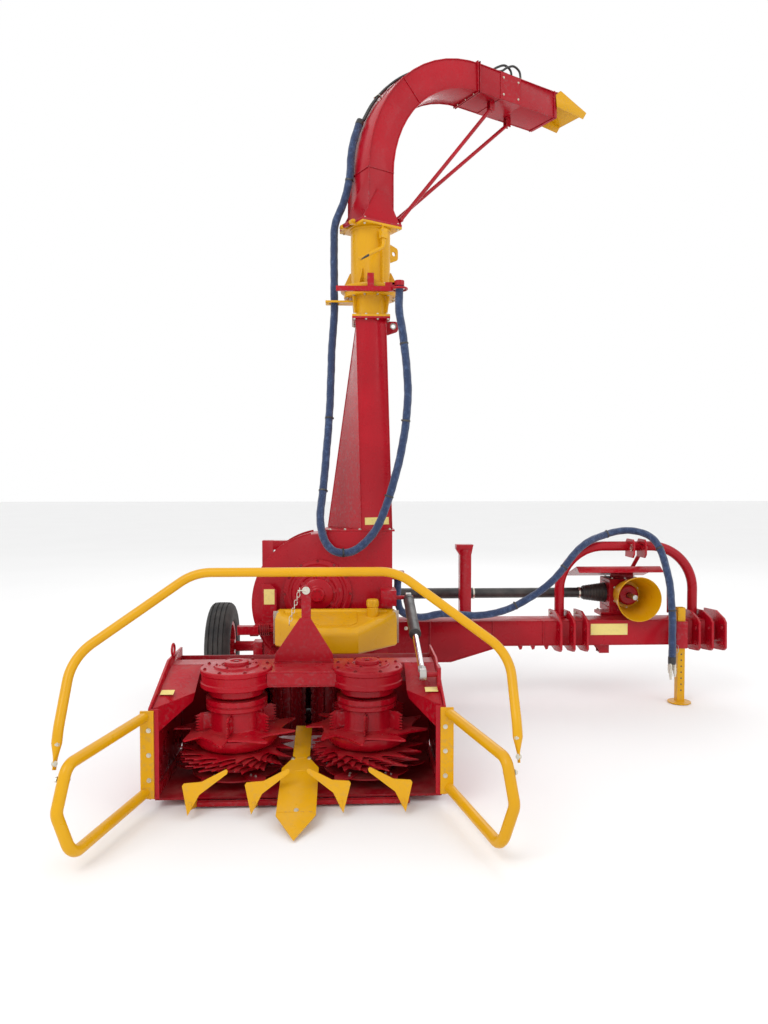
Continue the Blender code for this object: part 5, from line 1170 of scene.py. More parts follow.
def spout_details():
    """The duct's rolled edges, joint flanges, overlap, straps, bolts and stay rods."""
    half_w, half_h = 0.1225, 0.0875
    edge = Shape(TURNED)
    for reach in (BEND_RADIUS + 0.0872, BEND_RADIUS - 0.0872):
        for y in (-half_w, half_w):
            line = [(SLEW_X + BEND_RADIUS - reach, SLEW_Y + y, 3.09),
                    (SLEW_X + BEND_RADIUS - reach, SLEW_Y + y, BEND_START)]
            for k in range(1, BEND_STEPS + 1):
                line.append(on_bend(90 * k / BEND_STEPS, y, reach))
            line.append((SLEW_X + 1.452, SLEW_Y + y, BEND_START + reach))
            edge.tube(line, 0.0075, 3)
    edge.finish("spout_edges", "red", "spout_body", bevel=0)
    bands = Shape(TURNED)
    bolts = Shape(TURNED)

    def hoop_at(matrix, width, grow, bolted):
        bands.place = TURNED @ matrix
        w, h = half_w + grow, half_h + grow
        for low_corner, high_corner in (
                ((-width, -w, -h), (width, -half_w, h)), ((-width, half_w, -h), (width, w, h)),
                ((-width, -w, half_h), (width, w, h)), ((-width, -w, -h), (width, w, -half_h))):
            bands.box(low_corner, high_corner)
        if bolted:
            bolts.place = TURNED @ matrix
            for y in (-0.085, 0.0, 0.085):
                bolts.bolt((-width, y, h - 0.005), (-1, 0, 0), 0.0045, 0.004)
                bolts.bolt((-width, y, -h + 0.005), (-1, 0, 0), 0.0045, 0.004)

    def bend_place(angle):
        spot = on_bend(angle, 0.0, BEND_RADIUS)
        return Matrix.Translation(spot) @ Matrix.Rotation(math.radians(angle) - math.pi / 2, 4, "Y")

    hoop_at(bend_place(1.0), 0.003, 0.0045, False)
    hoop_at(bend_place(45.0), 0.003, 0.0045, False)
    hoop_at(bend_place(88.0), 0.0035, 0.012, True)
    hoop_at(bend_place(89.2), 0.0035, 0.012, False)
    hoop_at(Matrix.Translation((SLEW_X + 1.03, SLEW_Y, ARM_Z)), 0.09, 0.0032, False)
    hoop_at(Matrix.Translation((SLEW_X + 1.435, SLEW_Y, ARM_Z)), 0.004, 0.0055, False)
    bands.place = TURNED
    bands.finish("spout_bands", "red", "spout_body", bevel=0.0008)
    bolts.place = TURNED
    for x in (0.965, 1.095):
        for z in (-0.055, 0.055):
            for y, out in ((-half_w - 0.0032, -1), (half_w + 0.0032, 1)):
                bolts.bolt((SLEW_X + x, SLEW_Y + y, ARM_Z + z), (0, out, 0), 0.006, 0.005)
    for a in (-0.118, 0.0, 0.118):
        for b in (-0.1285, 0.1285):
            if a or b > 0:
                bolts.bolt((SLEW_X + a, SLEW_Y + b, 3.0446), UP, 0.0065, 0.006)
    bolts.finish("spout_bolts", "zinc", "spout_body", bevel=0)
    stays = Shape(TURNED)
    foot_x, base_z = SLEW_X + 0.185, COLUMN_TOP + 0.075
    belly = ARM_Z - half_h - 0.0005
    stays.box((SLEW_X + 0.088, SLEW_Y - 0.0445, COLUMN_TOP + 0.0205),
              (foot_x + 0.0145, SLEW_Y + 0.0445, COLUMN_TOP + 0.0895))
    stays.rod((foot_x, SLEW_Y - 0.0745, base_z), (foot_x, SLEW_Y + 0.0745, base_z), 0.0098, sides=32)
    for offset, reach in ((-0.06, 0.91), (0.06, 1.16)):
        y = SLEW_Y + offset
        end = Vector((SLEW_X + reach, y, belly - 0.05))
        first = Vector((foot_x, y, base_z))
        line = (end - first).normalized()
        stays.rod(first, end, 0.0128, sides=32)
        stays.rod(first - Vector((0, 0.009, 0)), first + Vector((0, 0.009, 0)), 0.0155, sides=32)
        stays.rod(end - line * 0.15, end - line * 0.115, 0.0129, sides=6)
        ear = rectangle(end.x - 0.0195, end.x + 0.0195, end.z - 0.0155, belly)
        stays.plate(ear, "Y", y - 0.0178, y - 0.012)
        stays.plate(ear, "Y", y + 0.012, y + 0.0178)
        stays.rod((end.x, y - 0.0178, end.z), (end.x, y + 0.0178, end.z), 0.007, sides=24)
    stays.finish("stay_rods", "red", "spout_body", ["spout_stays"], bevel=0.0012)
    clips = Shape(TURNED)
    for angle in (38, 66, 88):
        first, last = Vector(over_bend(angle, 0.08, 0.0)), Vector(over_bend(angle, 0.03, 0.0))
        out = Vector(over_bend(angle, 0.055, 0.028)) - Vector(over_bend(angle, 0.055, 0.0))
        clips.bar(first, first + out * 0.8, 0.016, 0.003)
        clips.bar(last, last + out * 0.8, 0.016, 0.003)
        clips.bar(first + out * 0.8, last + out * 0.8, 0.016, 0.003)
    clips.finish("hose_clips", "zinc", "spout_body", bevel=0)


def flap_parts():
    """The flap's small cylinder, its rod and the flap's folded edges."""
    start = Vector((SLEW_X + 1.06, SLEW_Y, ROOF + 0.05))
    pin = Vector((SLEW_X + 1.472, SLEW_Y, ROOF + 0.012))
    end = Vector((pin.x + 0.03, SLEW_Y, pin.z + 0.05))
    along = (end - start).normalized()
    barrel = Shape(TURNED)
    barrel.rod(start + along * 0.012, start + along * 0.26, 0.0172, sides=48)
    barrel.rod(start + along * 0.236, start + along * 0.2598, 0.018, sides=48)
    barrel.turned(rectangle(0.0072, 0.0158, -0.0138, 0.0138), tuple(start), "Y", 40)
    barrel.finish("flap_cylinder_barrel", "black", "flap_barrel_body", ["flap_barrel"], bevel=0.001)
    piston = Shape(TURNED)
    piston.rod(start + along * 0.11, end - along * 0.0202, 0.0078, sides=40)
    piston.rod(end - along * 0.05, end - along * 0.022, 0.0079, sides=6)
    piston.finish("flap_cylinder_rod", "chrome", "flap_rod_body", ["flap_rod"], bevel=0.0006)
    rim = Shape(TURNED)
    half = 0.1285
    tip = Vector((pin.x + 0.27, SLEW_Y, pin.z - 0.085))
    for y in (-half - 0.0018, half + 0.0018):
        rim.tube([(pin.x + 0.02, SLEW_Y + y, pin.z + 0.0055),
                  (tip.x - 0.003, SLEW_Y + y, tip.z + 0.0035)], 0.006, 3)
    rim.tube([(tip.x - 0.003, SLEW_Y - half, tip.z + 0.003),
              (tip.x - 0.003, SLEW_Y + half, tip.z + 0.003)], 0.0055, 3)
    rim.finish("flap_rim", "yellow", "flap_body", bevel=0)
    slope = Matrix.Translation((pin.x, SLEW_Y, pin.z + 0.0078)) @ Matrix.Rotation(math.atan2(0.085,
                                                                                             0.256), 4,
                                                                                  "Y")
    heads = Shape(TURNED @ slope)
    for x, y in ((0.075, -0.09), (0.075, 0.09), (0.2, -0.09), (0.2, 0.09)):
        heads.bolt((x, y, 0.0008), UP, 0.006, 0.004)
    heads.finish("flap_bolts", "zinc", "flap_body", bevel=0)


# ---------------------------------------------------------------- beam, hitch and drive
HITCH_X, GEARBOX_X, SHAFT_Z = 2.165, 2.15, 0.69
BEAM_FRONT, BEAM_BACK, BEAM_TOP = 1.66, 1.84, 0.545
LINK_HALF, PLATE_GAP = 0.4625, 0.088    # lower links from the middle, and plate from plate


def beam_details():
    """Weld seams, stiffeners, bolts and the blank plate on the main beam."""
    seam = Shape()
    for y in (BEAM_FRONT - 0.001, BEAM_BACK + 0.001):
        seam.tube([(x, y, BEAM_TOP - 0.004) for x in (0.49, 1.2, 2.0, 2.655)], 0.006, 3)
        seam.tube([(0.49, y, 0.274), (0.9, y, 0.274), (1.25, y, 0.379), (2.655, y, 0.379)], 0.006, 3)
    for x in (0.9645, 1.0405):
        seam.tube([(x, 1.7, BEAM_TOP + 0.001), (x, 1.78, BEAM_TOP + 0.001)], 0.009, 3)
    seam.finish("beam_seams", "red", "root", bevel=0)
    plate = Shape()
    plate.box((1.84, 1.657, 0.445), (2.09, 1.6598, 0.52))
    plate.finish("beam_label", "label", "root", bevel=0.0006)
    bolts = Shape()
    for x in (1.85, 2.08):
        for z in (0.455, 0.51):
            bolts.rod((x, 1.6575, z), (x, 1.655, z), 0.004, 0.0025, sides=14)
    for x in (0.52, 0.6, 0.68):
        for z in (0.31, 0.5):
            bolts.bolt((x, 1.6598, z), FRONT, 0.01, 0.008)
    for x in (HITCH_X - LINK_HALF - PLATE_GAP, HITCH_X - LINK_HALF + PLATE_GAP,
              HITCH_X + LINK_HALF - PLATE_GAP):
        bolts.bolt((x - 0.0072, 1.82, 0.57), (-1, 0, 0), 0.009, 0.007)
    bolts.finish("beam_bolts", "zinc", "root", bevel=0)
    ribs = Shape()
    for x in (0.76, 1.18, 1.52):
        floor = 0.278 if x < 0.9 else 0.382
        drop = floor if x < 0.9 or x > 1.25 else 0.362
        ribs.plate(rectangle(x - 0.004, x + 0.004, drop, 0.541), "Y", 1.6495, 1.6605)
    for x in (1.65, 1.9, 2.4):
        ribs.box((x - 0.004, 1.8395, 0.38), (x + 0.004, 1.852, 0.54))
    ribs.box((0.9635, 1.699, 1.0205), (1.0415, 1.781, 1.0245))
    ribs.finish("beam_ribs", "red", "root", bevel=0.001)
    bushes = Shape()
    for k in (-1, 0, 1):
        for side in (-1, 1):
            x = HITCH_X + side * LINK_HALF + k * PLATE_GAP
            for z in (0.395, 0.5):
                for face in (-1, 1):
                    near, far = sorted((x + face * 0.0071, x + face * 0.01))
                    bushes.turned(rectangle(0.015, 0.0215, near, far), (0, 1.6, z), "X", 32)
    bushes.finish("link_bushes", "red", "root", bevel=0.0006)
    brace = Shape()
    brace.bar((2.456, 1.845, 0.56), (2.44, 1.815, 0.8), 0.04, 0.008)
    brace.bar((2.245, 1.8, 1.02), (2.215, 1.99, 0.815), 0.03, 0.008)
    brace.finish("arch_brace", "red", "root", bevel=0.001)
    foot = Shape()
    lug = [(1.88, 0.3748), (1.915, 0.33), (1.915, 0.312), (1.982, 0.312), (1.982, 0.3748)]
    foot.plate(lug, "Y", 1.705, 1.713)
    foot.plate(lug, "Y", 1.772, 1.78)
    foot.box((1.918, 1.708, 0.3125), (1.98, 1.777, 0.32))
    for x in (1.366, 1.451, 1.542):
        foot.plate([(x - 0.016, 0.3748), (x + 0.016, 0.3748), (x + 0.01, 0.352), (x - 0.004, 0.348)],
                   "Y", 1.662, 1.672)
    foot.finish("beam_foot", "red", "root", bevel=0.0012)


def arch():
    """The bent tube arch with the top link's two plates."""
    left, right, y = HITCH_X - 0.5065, HITCH_X + 0.4185, 1.78
    top, r = 1.065, 0.0327
    path = filleted([(left, y, BEAM_TOP + 0.0006), (left, y, top - 0.033), (right, y, top - 0.033),
                     (right, y, BEAM_TOP + 0.0006)], 0.3, 30)
    made = Shape()
    made.tube(path, 2 * r, 9)
    for x in (left, right):
        made.turned([(r - 0.001, 0.5455), (0.047, 0.5455), (0.047, 0.5535), (r + 0.004, 0.556),
                     (r - 0.001, 0.562)],
                    (x, y, 0), sides=48)
    for side in (-1, 1):
        low_x, high_x = sorted((HITCH_X + side * 0.0342, HITCH_X + side * 0.0458))
        outline = [(1.6405, 0.985), (1.665, 0.9605), (1.7995, 0.9605), (1.7995, 1.06), (1.775, 1.0845),
                   (1.665, 1.0845), (1.6405, 1.06)]
        made.plate(outline, "X", low_x, high_x, [circle((1.675, 1.03), 0.0127, 40)])
    made.finish("hitch_arch_tube", "red", "root", ["hitch_arch"], bevel=0.0015)
    bush = Shape()
    for side in (-1, 1):
        near, far = sorted((HITCH_X + side * 0.046, HITCH_X + side * 0.052))
        bush.turned([(0.0132, near), (0.024, near), (0.022, far), (0.0132, far)], (0, 1.675, 1.03), "X",
                    40)
    bush.finish("top_link_bushes", "zinc", "root", bevel=0.0008)


def drive_line():
    """The angle gearbox, its shield, the shaft's yellow cone and the guarded cross shaft."""
    x, z = GEARBOX_X, SHAFT_Z
    case = Shape()
    case.box((x - 0.1195, 1.8525, z - 0.1295), (x + 0.1195, 2.0595, z + 0.1045))
    case.turned([(0.0192, 1.8005), (0.06, 1.8005), (0.069, 1.81), (0.069, 1.86), (0.0192, 1.86)],
                (x, 0, z), "Y", 64)
    case.box((x - 0.1795, 1.8408, z - 0.1495), (x + 0.1795, 1.9995, z - 0.1255))
    case.box((x - 0.1795, 1.8408, 0.4805), (x + 0.1795, 1.8575, z - 0.13))
    for k in range(5):
        low_z = z - 0.095 + 0.042 * k
        case.box((x - 0.1255, 1.87, low_z), (x + 0.1255, 2.045, low_z + 0.008))
    case.finish("angle_gearbox", "red", "root", ["gearbox"], bevel=0.004, segments=3)
    bolts = Shape()
    for a, b in ring_of(6, (x, z), 0.094, 30):
        bolts.bolt((a, 1.8523, b), FRONT, 0.008, 0.006)
    for dx in (-0.16, -0.06, 0.06, 0.16):
        bolts.bolt((x + dx, 1.98, z - 0.1255), UP, 0.009, 0.008)
    for dx in (-0.09, 0.0, 0.09):
        for y in (1.885, 2.03):
            bolts.bolt((x + dx, y, z + 0.1047), UP, 0.007, 0.006)
    bolts.rod((x + 0.085, 1.96, z + 0.104), (x + 0.085, 1.96, z + 0.12), 0.012, sides=6)
    bolts.finish("angle_gearbox_bolts", "zinc", "root", bevel=0)
    cone = Shape()
    y0, y1 = 1.6, 1.85
    outer = [(0.1478, y0 + 0.0004), (0.1488, y0 + 0.004), (0.1478, y0 + 0.009), (0.144, y0 + 0.012)]
    for k in range(1, 8):
        share = k / 8
        radius = 0.149 - 0.054 * share - 0.0008
        step = y0 + (y1 - y0) * share
        outer += [(radius, step), (radius - (0.0016 if k % 2 else 0.0), step + 0.006)]
    outer += [(0.0945, y1 - 0.0006), (0.0716, y1 - 0.0006), (0.0716, y1 - 0.0036),
              (0.0908, y1 - 0.0036)]
    inner = [(0.1405, y0 + 0.014), (0.1445, y0 + 0.002)]
    cone.turned([*outer, *inner], (x, 0, z), "Y", 96)
    cone.finish("pto_guard_cone", "yellow", "root", ["pto_cone"], bevel=0)
    spline = Shape()
    for k in range(6):
        spline.place = Matrix.Translation((x, 0, z)) @ Matrix.Rotation(math.radians(60 * k), 4, "Y")
        spline.box((-0.0038, 1.6805, 0.01), (0.0038, 1.745, 0.0173))
    spline.finish("pto_splines", "steel", "pto_shaft_body", bevel=0.0005)
    cx = 0.07
    rear = Shape()
    rear.box((cx - 0.1195, 1.8605, z - 0.1095), (cx + 0.1295, 2.0495, z + 0.1195))
    rear.turned([(0.0005, 1.5606), (0.0745, 1.5606), (0.0745, 1.6), (0.068, 1.606), (0.068, 1.83),
                 (0.0745, 1.838),
                 (0.0745, 1.87), (0.0005, 1.87)], (cx, 0, z + 0.02), "Y", 64)
    for k in range(4):
        low_z = z - 0.075 + 0.045 * k
        rear.box((cx - 0.126, 1.88, low_z), (cx + 0.13, 2.03, low_z + 0.008))
    rear.finish("rotor_gearbox", "red", "root", ["chopper_gearbox"], bevel=0.004, segments=3)
    heads = Shape()
    for dx in (-0.095, 0.005, 0.105):
        for dz in (-0.09, 0.1):
            heads.bolt((cx + dx, 2.0497, z + dz), BACK, 0.008, 0.007)
            heads.bolt((cx + dx, 1.8603, z + dz), FRONT, 0.008, 0.007)
    heads.rod((cx - 0.06, 1.95, z + 0.119), (cx - 0.06, 1.95, z + 0.136), 0.012, sides=6)
    heads.finish("rotor_gearbox_bolts", "zinc", "root", bevel=0)
    guard = Shape()
    left, right, y = cx + 0.1308, x - 0.1208, 1.955
    profile = [(0.0005, left)]
    for k in range(8):
        base = left + 0.002 + 0.0195 * k
        radius = 0.069 - 0.0026 * k
        profile += [(radius, base), (radius, base + 0.012), (radius - 0.0045, base + 0.014),
                    (radius - 0.0045, base + 0.0185)]
    profile += [(0.0445, left + 0.162), (0.0375, left + 0.166), (0.0375, 1.1), (0.035, 1.104),
                (0.035, right - 0.166),
                (0.0445, right - 0.162)]
    for k in reversed(range(8)):
        base = right - 0.002 - 0.0195 * k
        radius = 0.069 - 0.0026 * k
        profile += [(radius - 0.0045, base - 0.0185), (radius - 0.0045, base - 0.014),
                    (radius, base - 0.012), (radius, base)]
    profile.append((0.0005, right))
    guard.turned(profile, (0, y, z), "X", 64)
    guard.finish("shaft_guard", "black", "root", ["drive_shaft"], bevel=0)
    rings = Shape()
    for spot in (left + 0.185, right - 0.185, 1.095):
        rings.turned(rectangle(0.0374, 0.0402, spot - 0.006, spot + 0.006),
                     (0, y, z), "X", 48)
    rings.finish("shaft_guard_clamps", "zinc", "root", bevel=0.0006)


# ---------------------------------------------------------------- running gear and stand
def wheel():
    """A ribbed implement tyre on a pressed rim with bolts, and its valve."""
    centre = middle("tyre")
    r, half, bead = 0.31, 0.085, 0.1753
    spots = [(bead, 0.72), (bead + 0.004, 0.86), (bead + 0.02, 0.945), (bead + 0.024, 0.955),
             (bead + 0.027, 0.95),
             (bead + 0.05, 0.992), (bead + 0.065, 0.999), (bead + 0.08, 0.994), (r - 0.052, 0.975),
             (r - 0.048, 0.982),
             (r - 0.04, 0.955), (r - 0.022, 0.87), (r - 0.0125, 0.775)]
    left = [(radius, -half * share) for radius, share in spots]
    tread = []
    edges = [-0.62, -0.5, -0.24, -0.13, 0.13, 0.24, 0.5, 0.62]
    for i, share in enumerate(edges):
        crown = r - 0.0008 - 0.01 * abs(share) ** 3
        groove = crown - 0.0085
        if i % 2 == 0:
            tread += [(crown, half * share), (groove, half * (share + 0.015))]
        else:
            tread += [(groove, half * (share - 0.015)), (crown, half * share)]
    right = [(radius, half * share) for radius, share in reversed(spots)]
    tyre = Shape()
    tyre.turned([*left, *tread, *right], tuple(centre), "X", 144)
    tyre.finish("ribbed_tyre", "tyre", "wheel", ["tyre"], bevel=0, angle=30)
    hub, rim = 0.0252, 0.1748
    disc = Shape()
    disc.turned([(hub, -0.0995), (0.044, -0.0995), (0.0495, -0.094), (0.0495, -0.04), (0.07, -0.03),
                 (0.1, -0.03),
                 (0.112, -0.02), (0.138, -0.018), (0.148, -0.034), (0.152, -0.064), (0.166, -0.067),
                 (rim, -0.0675),
                 (rim, 0.0675), (0.166, 0.067), (0.152, 0.064), (0.146, 0.012), (0.12, 0.0),
                 (0.1, 0.008),
                 (0.07, 0.016), (0.054, 0.022), (0.0495, 0.03), (0.0495, 0.0855), (hub, 0.0855)],
                tuple(centre), "X", 96)
    disc.finish("wheel_rim", "red", "wheel", ["rim"], bevel=0.0008)
    bolts = Shape()
    for a, b in ring_of(5, (centre.y, centre.z), 0.082, 18):
        bolts.bolt((centre.x - 0.0305, a, b), (-1, 0, 0), 0.01, 0.012)
    bolts.rod((centre.x - 0.03, centre.y + 0.128, centre.z),
              (centre.x - 0.06, centre.y + 0.132, centre.z), 0.004)
    bolts.finish("wheel_bolts", "zinc", "wheel", bevel=0)
    cap = Shape()
    cap.turned([(0.0005, -0.1245), (0.026, -0.1245), (0.034, -0.1195), (0.0375, -0.1085),
                (0.0375, -0.1065),
                (0.0005, -0.1065)], tuple(centre), "X", 48)
    cap.finish("axle_cap", "zinc", "root", bevel=0.0006)


def stand():
    """The square stand leg with its row of pin holes, its round foot and the pin; black discs in the holes
    are painted shade for the hollow leg's dark inside.
    """
    x, y = 2.42, 1.59
    leg = Shape()
    half = 0.0248
    corners = ((-1, -1), (1, -1), (1, 1), (-1, 1))
    outline = [(x + a * half, y + b * half) for a, b in corners]
    inner = [(x + a * 0.0205, y + b * 0.0205) for a, b in corners]
    leg.plate(outline, "Z", 0.0125, 0.6395, [inner])
    leg.turned([(0.0005, 0.0003), (0.066, 0.0003), (0.0745, 0.005), (0.0745, 0.0115), (0.071, 0.0118),
                (0.05, 0.0085),
                (0.036, 0.012), (0.03, 0.015), (0.0005, 0.015)], (x, y, 0), sides=72)
    leg.finish("stand_tube", "yellow", "stand", ["stand_leg"], bevel=0.0015)
    holes, dark = Shape(), Shape()
    for k in range(7):
        z = 0.09 + 0.04 * k
        holes.turned(rectangle(0.0052, 0.0074, -half - 0.0002, -half + 0.001),
                     (x, y, z), "Y", 24)
        # Each black disc is painted shade: it stands for the dark inside of the hollow leg seen through the
        # hole.
        dark.rod((x, y - half - 0.0001, z), (x, y - half + 0.002, z), 0.0051, sides=24)
    holes.finish("stand_hole_rims", "yellow", "stand", bevel=0)
    dark.finish("stand_hole_painted_shade", "black", "stand", bevel=0)
    pin = Shape()
    pin.rod((x - 0.044, y, 0.43), (x - 0.0365, y, 0.43), 0.0085)
    pin.rod((x + 0.0365, y, 0.43), (x + 0.05, y, 0.43), 0.006)
    pin.tube(filleted([(x - 0.044, y, 0.43), (x - 0.07, y, 0.43), (x - 0.07, y - 0.01, 0.372)], 0.012),
             0.0055, 3)
    pin.finish("stand_pin", "zinc", "root", bevel=0.0005)
    ring = Shape()
    loop = [(x - 0.0415, b, c) for b, c in circle((y - 0.05, 0.372), 0.026, 40)]
    ring.tube(loop, 0.0032, 3, cyclic=True)
    ring.finish("stand_wire_loop", "steel", "root", bevel=0)


# ---------------------------------------------------------------- hoses
HOSE, THIN = 0.05, 0.016
COUPLER_X, COUPLER_Y = 2.33, 1.5


def hose(name, route, diameter, look, body, replaced, exit_first,
         bend=None):
    """A hose along a fine route; when a bend is given it rides on no body."""
    made = Shape()
    path = route if exit_first else list(reversed(route))
    sleeve_tube(made, path, diameter / 2 - 0.0003, 24 if diameter == HOSE else 14,
                0.045 if look == "sleeve" else 0.0)
    obj = made.finish(name, look, body, bevel=0) if bend is None else made.finish(name, look, None,
                                                                                  bevel=0)
    if bend is not None:
        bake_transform(obj)
    if replaced:
        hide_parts(*replaced)
    return obj


def ties(name, spots, body, bend=None):
    """Narrow bands strapped round a sleeve."""
    made = Shape()
    for spot, along in spots:
        turn = Vector((0, 0, 1)).rotation_difference(along.normalized()).to_matrix().to_4x4()
        made.place = Matrix.Translation(spot) @ turn
        made.turned([(0.0235, -0.006), (0.0262, -0.0045), (0.0262, 0.0045), (0.0235, 0.006)], (0, 0, 0),
                    sides=28)
        made.box((0.0235, -0.004, -0.005), (0.03, 0.004, 0.005))
    made.place = Matrix.Identity(4)
    obj = made.finish(name, "black", body, bevel=0)
    if bend is not None:
        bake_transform(obj)
    return obj


def along_route(route, every, start=0.25):
    """Evenly spaced places on a route with their directions."""
    spots, gone, goal = [], 0.0, start
    for a, b in zip(route, route[1:]):
        gone += (b - a).length
        if gone >= goal:
            spots.append((b, b - a))
            goal += every
    return spots


def hoses():
    """The four sleeves and the flap's two hoses, with their ties, cuff and fittings."""
    supply = smooth_route([(2.33, 1.5, 0.33), (2.33, 1.5, 0.42), (2.33, 1.51, 0.62),
                           (2.32, 1.56, 0.86), (2.272, 1.66, 1.075), (2.155, 1.78, 1.137),
                           (1.98, 1.78, 1.112), (1.78, 1.7, 1.03), (1.56, 1.64, 0.8),
                           (1.3, 1.625, 0.64), (1.08, 1.62, 0.59), (0.85, 1.61, 0.605),
                           (0.69, 1.57, 0.59), (0.57, 1.515, 0.63), (0.535, 1.5, 0.715),
                           (0.535, 1.5, 0.8497)], 0.01)
    ends = couplers()
    bands = ties("supply_ties", along_route(supply, 0.42, 0.3)[:-1], "root")
    hose("supply_sleeve", supply, HOSE, "sleeve", "root", ["hose_supply"], False)
    loop = smooth_route([(0.525, 1.2, 2.628), (0.525, 1.2, 2.48), (0.552, 1.192, 2.3),
                         (0.575, 1.18, 2.0), (0.545, 1.175, 1.7), (0.47, 1.17, 1.4),
                         (0.38, 1.165, 1.18), (0.25, 1.155, 1.06), (0.12, 1.15, 1.07),
                         (0.055, 1.19, 1.22), (0.075, 1.3, 1.5), (0.105, 1.38, 1.9),
                         (0.12, 1.42, 2.3), (0.135, 1.42, 2.5), (0.135, 1.42, 2.64)], 0.01)
    swing = ("root", "turret", at(0.25, 1.2, 1.5), at(0.5, 1.2, 1.5))
    bands = ties("loop_ties", along_route(loop, 0.46, 0.34)[:-1], None, swing)
    hose("loop_sleeve", loop, HOSE, "sleeve", None, ["hose_loop"], True,
         bend=swing)
    turn = TURNED.inverted()
    foot = turn @ Vector((0.135, 1.42, 2.6403))
    knee = turn @ Vector((0.135, 1.42, 2.8))
    spout = [foot, knee, (SLEW_X - 0.195, SLEW_Y + 0.112, 2.95), (SLEW_X - 0.19, SLEW_Y + 0.105, 3.06),
             (SLEW_X - 0.145, SLEW_Y + 0.08, 3.19),
             *[over_bend(angle, 0.055, 0.031) for angle in (0, 8, 16, 24)]]
    rise = [TURNED @ p for p in smooth_route(spout, 0.01)]
    split = next(i for i, p in enumerate(rise) if p.z > 2.965)
    lower, upper = rise[:split + 1], rise[split:]
    hose("riser_sleeve", lower, HOSE, "sleeve", None, [], True,
         bend=("root", "turret", at(0.2, 1.4, 2.66), at(0.2, 1.4, 2.95)))
    bands = ties("spout_tie", [along_route(upper, 0.2, 0.36)[0]], "spout_body")
    boot = Shape()
    boot.rod(upper[-4], upper[-1] + (upper[-1] - upper[-2]) * 0.4, 0.0262, 0.0235, sides=28)
    cuff = boot.finish("sleeve_cuff", "black", "spout_body", bevel=0.003)
    hose("spout_sleeve", upper, HOSE, "sleeve", None, ["hose_spout"], True,
         bend=("turret", "spout_body", at(0.2, 1.4, 2.985), at(0.2, 1.4, 3.12)))
    for side, spread in (("left", 0.03), ("right", -0.03)):
        reach = SLEW_X + 1.19 - spread
        points = [*[over_bend(angle, 0.055 + spread * 0.4, 0.016)
                    for angle in (24.6, 35, 46, 57, 68, 79, 90)],
                  (SLEW_X + 0.86, SLEW_Y + spread, ROOF + 0.04),
                  (reach - 0.2, SLEW_Y + spread * 0.7, ROOF + 0.072),
                  (reach - 0.13, SLEW_Y + spread * 0.5, ROOF + 0.118),
                  (reach - 0.066, SLEW_Y + spread * 0.4, ROOF + 0.147),
                  (reach - 0.014, SLEW_Y + spread * 0.4, ROOF + 0.128),
                  (reach, SLEW_Y + spread * 0.4, ROOF + 0.078)]
        route = [TURNED @ p for p in smooth_route(points, 0.008)]
        fitting = Shape(TURNED)
        fitting.rod((reach, SLEW_Y + spread * 0.4, ROOF + 0.0935),
                    (reach, SLEW_Y + spread * 0.4, ROOF + 0.0785), 0.0085, sides=6)
        end = fitting.finish(f"flap_hose_fitting_{side}", "zinc", "spout_body", bevel=0)
        hose(f"flap_hose_{side}", route, THIN, "hose", "spout_body", [f"hose_flap_{side}"], True)


def couplers():
    """Quick couplers on four short hoses below the sleeve's collar, with their grips and caps."""
    collar = Shape()
    collar.turned([(0.0005, 0.2805), (0.0235, 0.2805), (0.0258, 0.286), (0.0258, 0.329),
                   (0.0005, 0.329)],
                  (COUPLER_X, COUPLER_Y, 0), sides=40)
    band = collar.finish("coupler_collar", "black", "root", ["hose_couplers"], bevel=0.001)
    made = Shape()
    places = ((-0.014, -0.014), (0.014, -0.012), (-0.012, 0.014), (0.014, 0.014))
    for k, (dx, dy) in enumerate(places):
        z = 0.1825 + 0.017 * k
        made.turned([(0.0005, z + 0.0005), (0.006, z + 0.0005), (0.0075, z + 0.006),
                     (0.0075, z + 0.018),
                     (0.0102, z + 0.02), (0.0102, z + 0.04), (0.0088, z + 0.042), (0.0088, z + 0.046),
                     (0.0102, z + 0.048), (0.0102, z + 0.056), (0.008, z + 0.06), (0.008, 0.288),
                     (0.0005, 0.288)],
                    (COUPLER_X + dx, COUPLER_Y + dy, 0), sides=28)
    steel = made.finish("quick_couplers", "zinc", "root", bevel=0)
    return [band, steel]


# ---------------------------------------------------------------- stage, light and camera
FLOOR_REACH = 60.0
LAMPS = (("key", (-4.5, -6.0, 7.5), 4.5, 260.0),
         ("fill", (6.5, -5.0, 5.0), 5.0, 90.0),
         ("back", (1.0, 7.5, 7.0), 5.0, 120.0))  # name, place, size and power
EYE = (0.233, -3.403, 1.456)
EYE_TILT, EYE_TURN = 87.92, -2.5        # in degrees
SENSOR_MM, LENS_MM = 36.0, 27.07


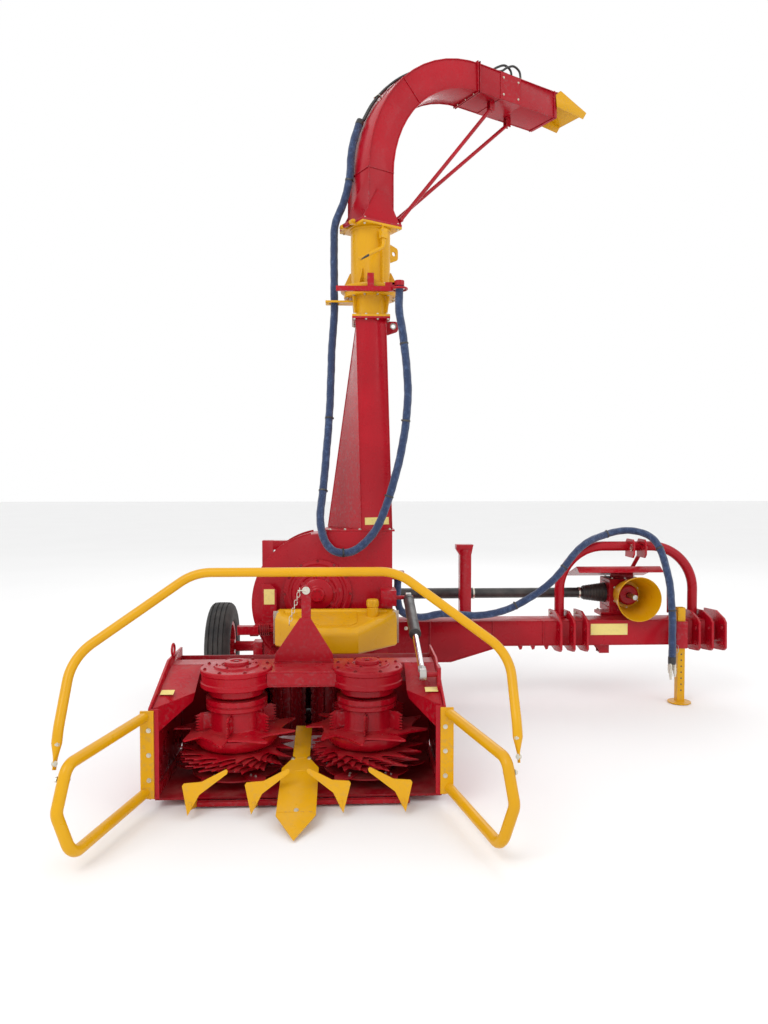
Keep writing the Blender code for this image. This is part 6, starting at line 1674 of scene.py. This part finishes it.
def stage():
    """A plain pale floor that runs far past the view."""
    data = bpy.data.meshes.new("floor")
    reach = FLOOR_REACH
    data.from_pydata([(-reach, -reach, 0), (reach, -reach, 0), (reach, reach, 0), (-reach, reach, 0)],
                     [], [(0, 1, 2, 3)])
    floor = new_object("floor", data)
    made, tree, shader = nodes_of("studio_floor")
    tone = ramp(tree, noise(tree, 0.6, 2.0), 0.2, 0.8)
    tree.links.new(mix_colour(tree, tone, (0.87, 0.87, 0.87), (0.89, 0.89, 0.89)),
                   shader.inputs["Base Color"])
    shader.inputs["Roughness"].default_value = 0.75
    shader.inputs["Specular IOR Level"].default_value = 0.15
    data.materials.append(made)


def lights():
    """A white sky and three large lamps turned to the machine."""
    world = bpy.data.worlds.new("studio")
    bpy.context.scene.world = world
    world.use_nodes = True
    sky = world.node_tree.nodes["Background"].inputs
    sky["Color"].default_value = (1.0, 1.0, 1.0, 1.0)
    sky["Strength"].default_value = 1.0
    for name, place, size, power in LAMPS:
        data = bpy.data.lights.new(name, "AREA")
        data.size = size
        data.energy = power
        lamp = new_object(name, data)
        lamp.location = place
        lamp.rotation_euler = (Vector((0, 0, 1.5)) - Vector(place)).to_track_quat("-Z", "Y").to_euler()


def camera():
    """Stands in front of the header, slightly to its right, at head height."""
    data = bpy.data.cameras.new("camera")
    data.sensor_fit = "VERTICAL"
    data.sensor_height = SENSOR_MM
    data.lens = LENS_MM
    eye = new_object("camera", data)
    eye.location = at(*EYE)
    eye.rotation_euler = (math.radians(EYE_TILT), 0.0, math.radians(EYE_TURN))
    bpy.context.scene.camera = eye


# ---------------------------------------------------------------- the whole machine
def main():
    for node, look in KEPT.items():
        keep(node, look)
    rails()
    header_details()
    gearcase()
    drums()
    knives()
    front_plates()
    feed_rollers()
    box_details()
    tank_shell()
    housing_details()
    side_fittings()
    lift_cylinder()
    tower_details()
    turret_details()
    spout_details()
    flap_parts()
    beam_details()
    arch()
    drive_line()
    wheel()
    stand()
    hoses()
    stage()
    lights()
    camera()
    bpy.context.scene.view_settings.view_transform = "Standard"


main()
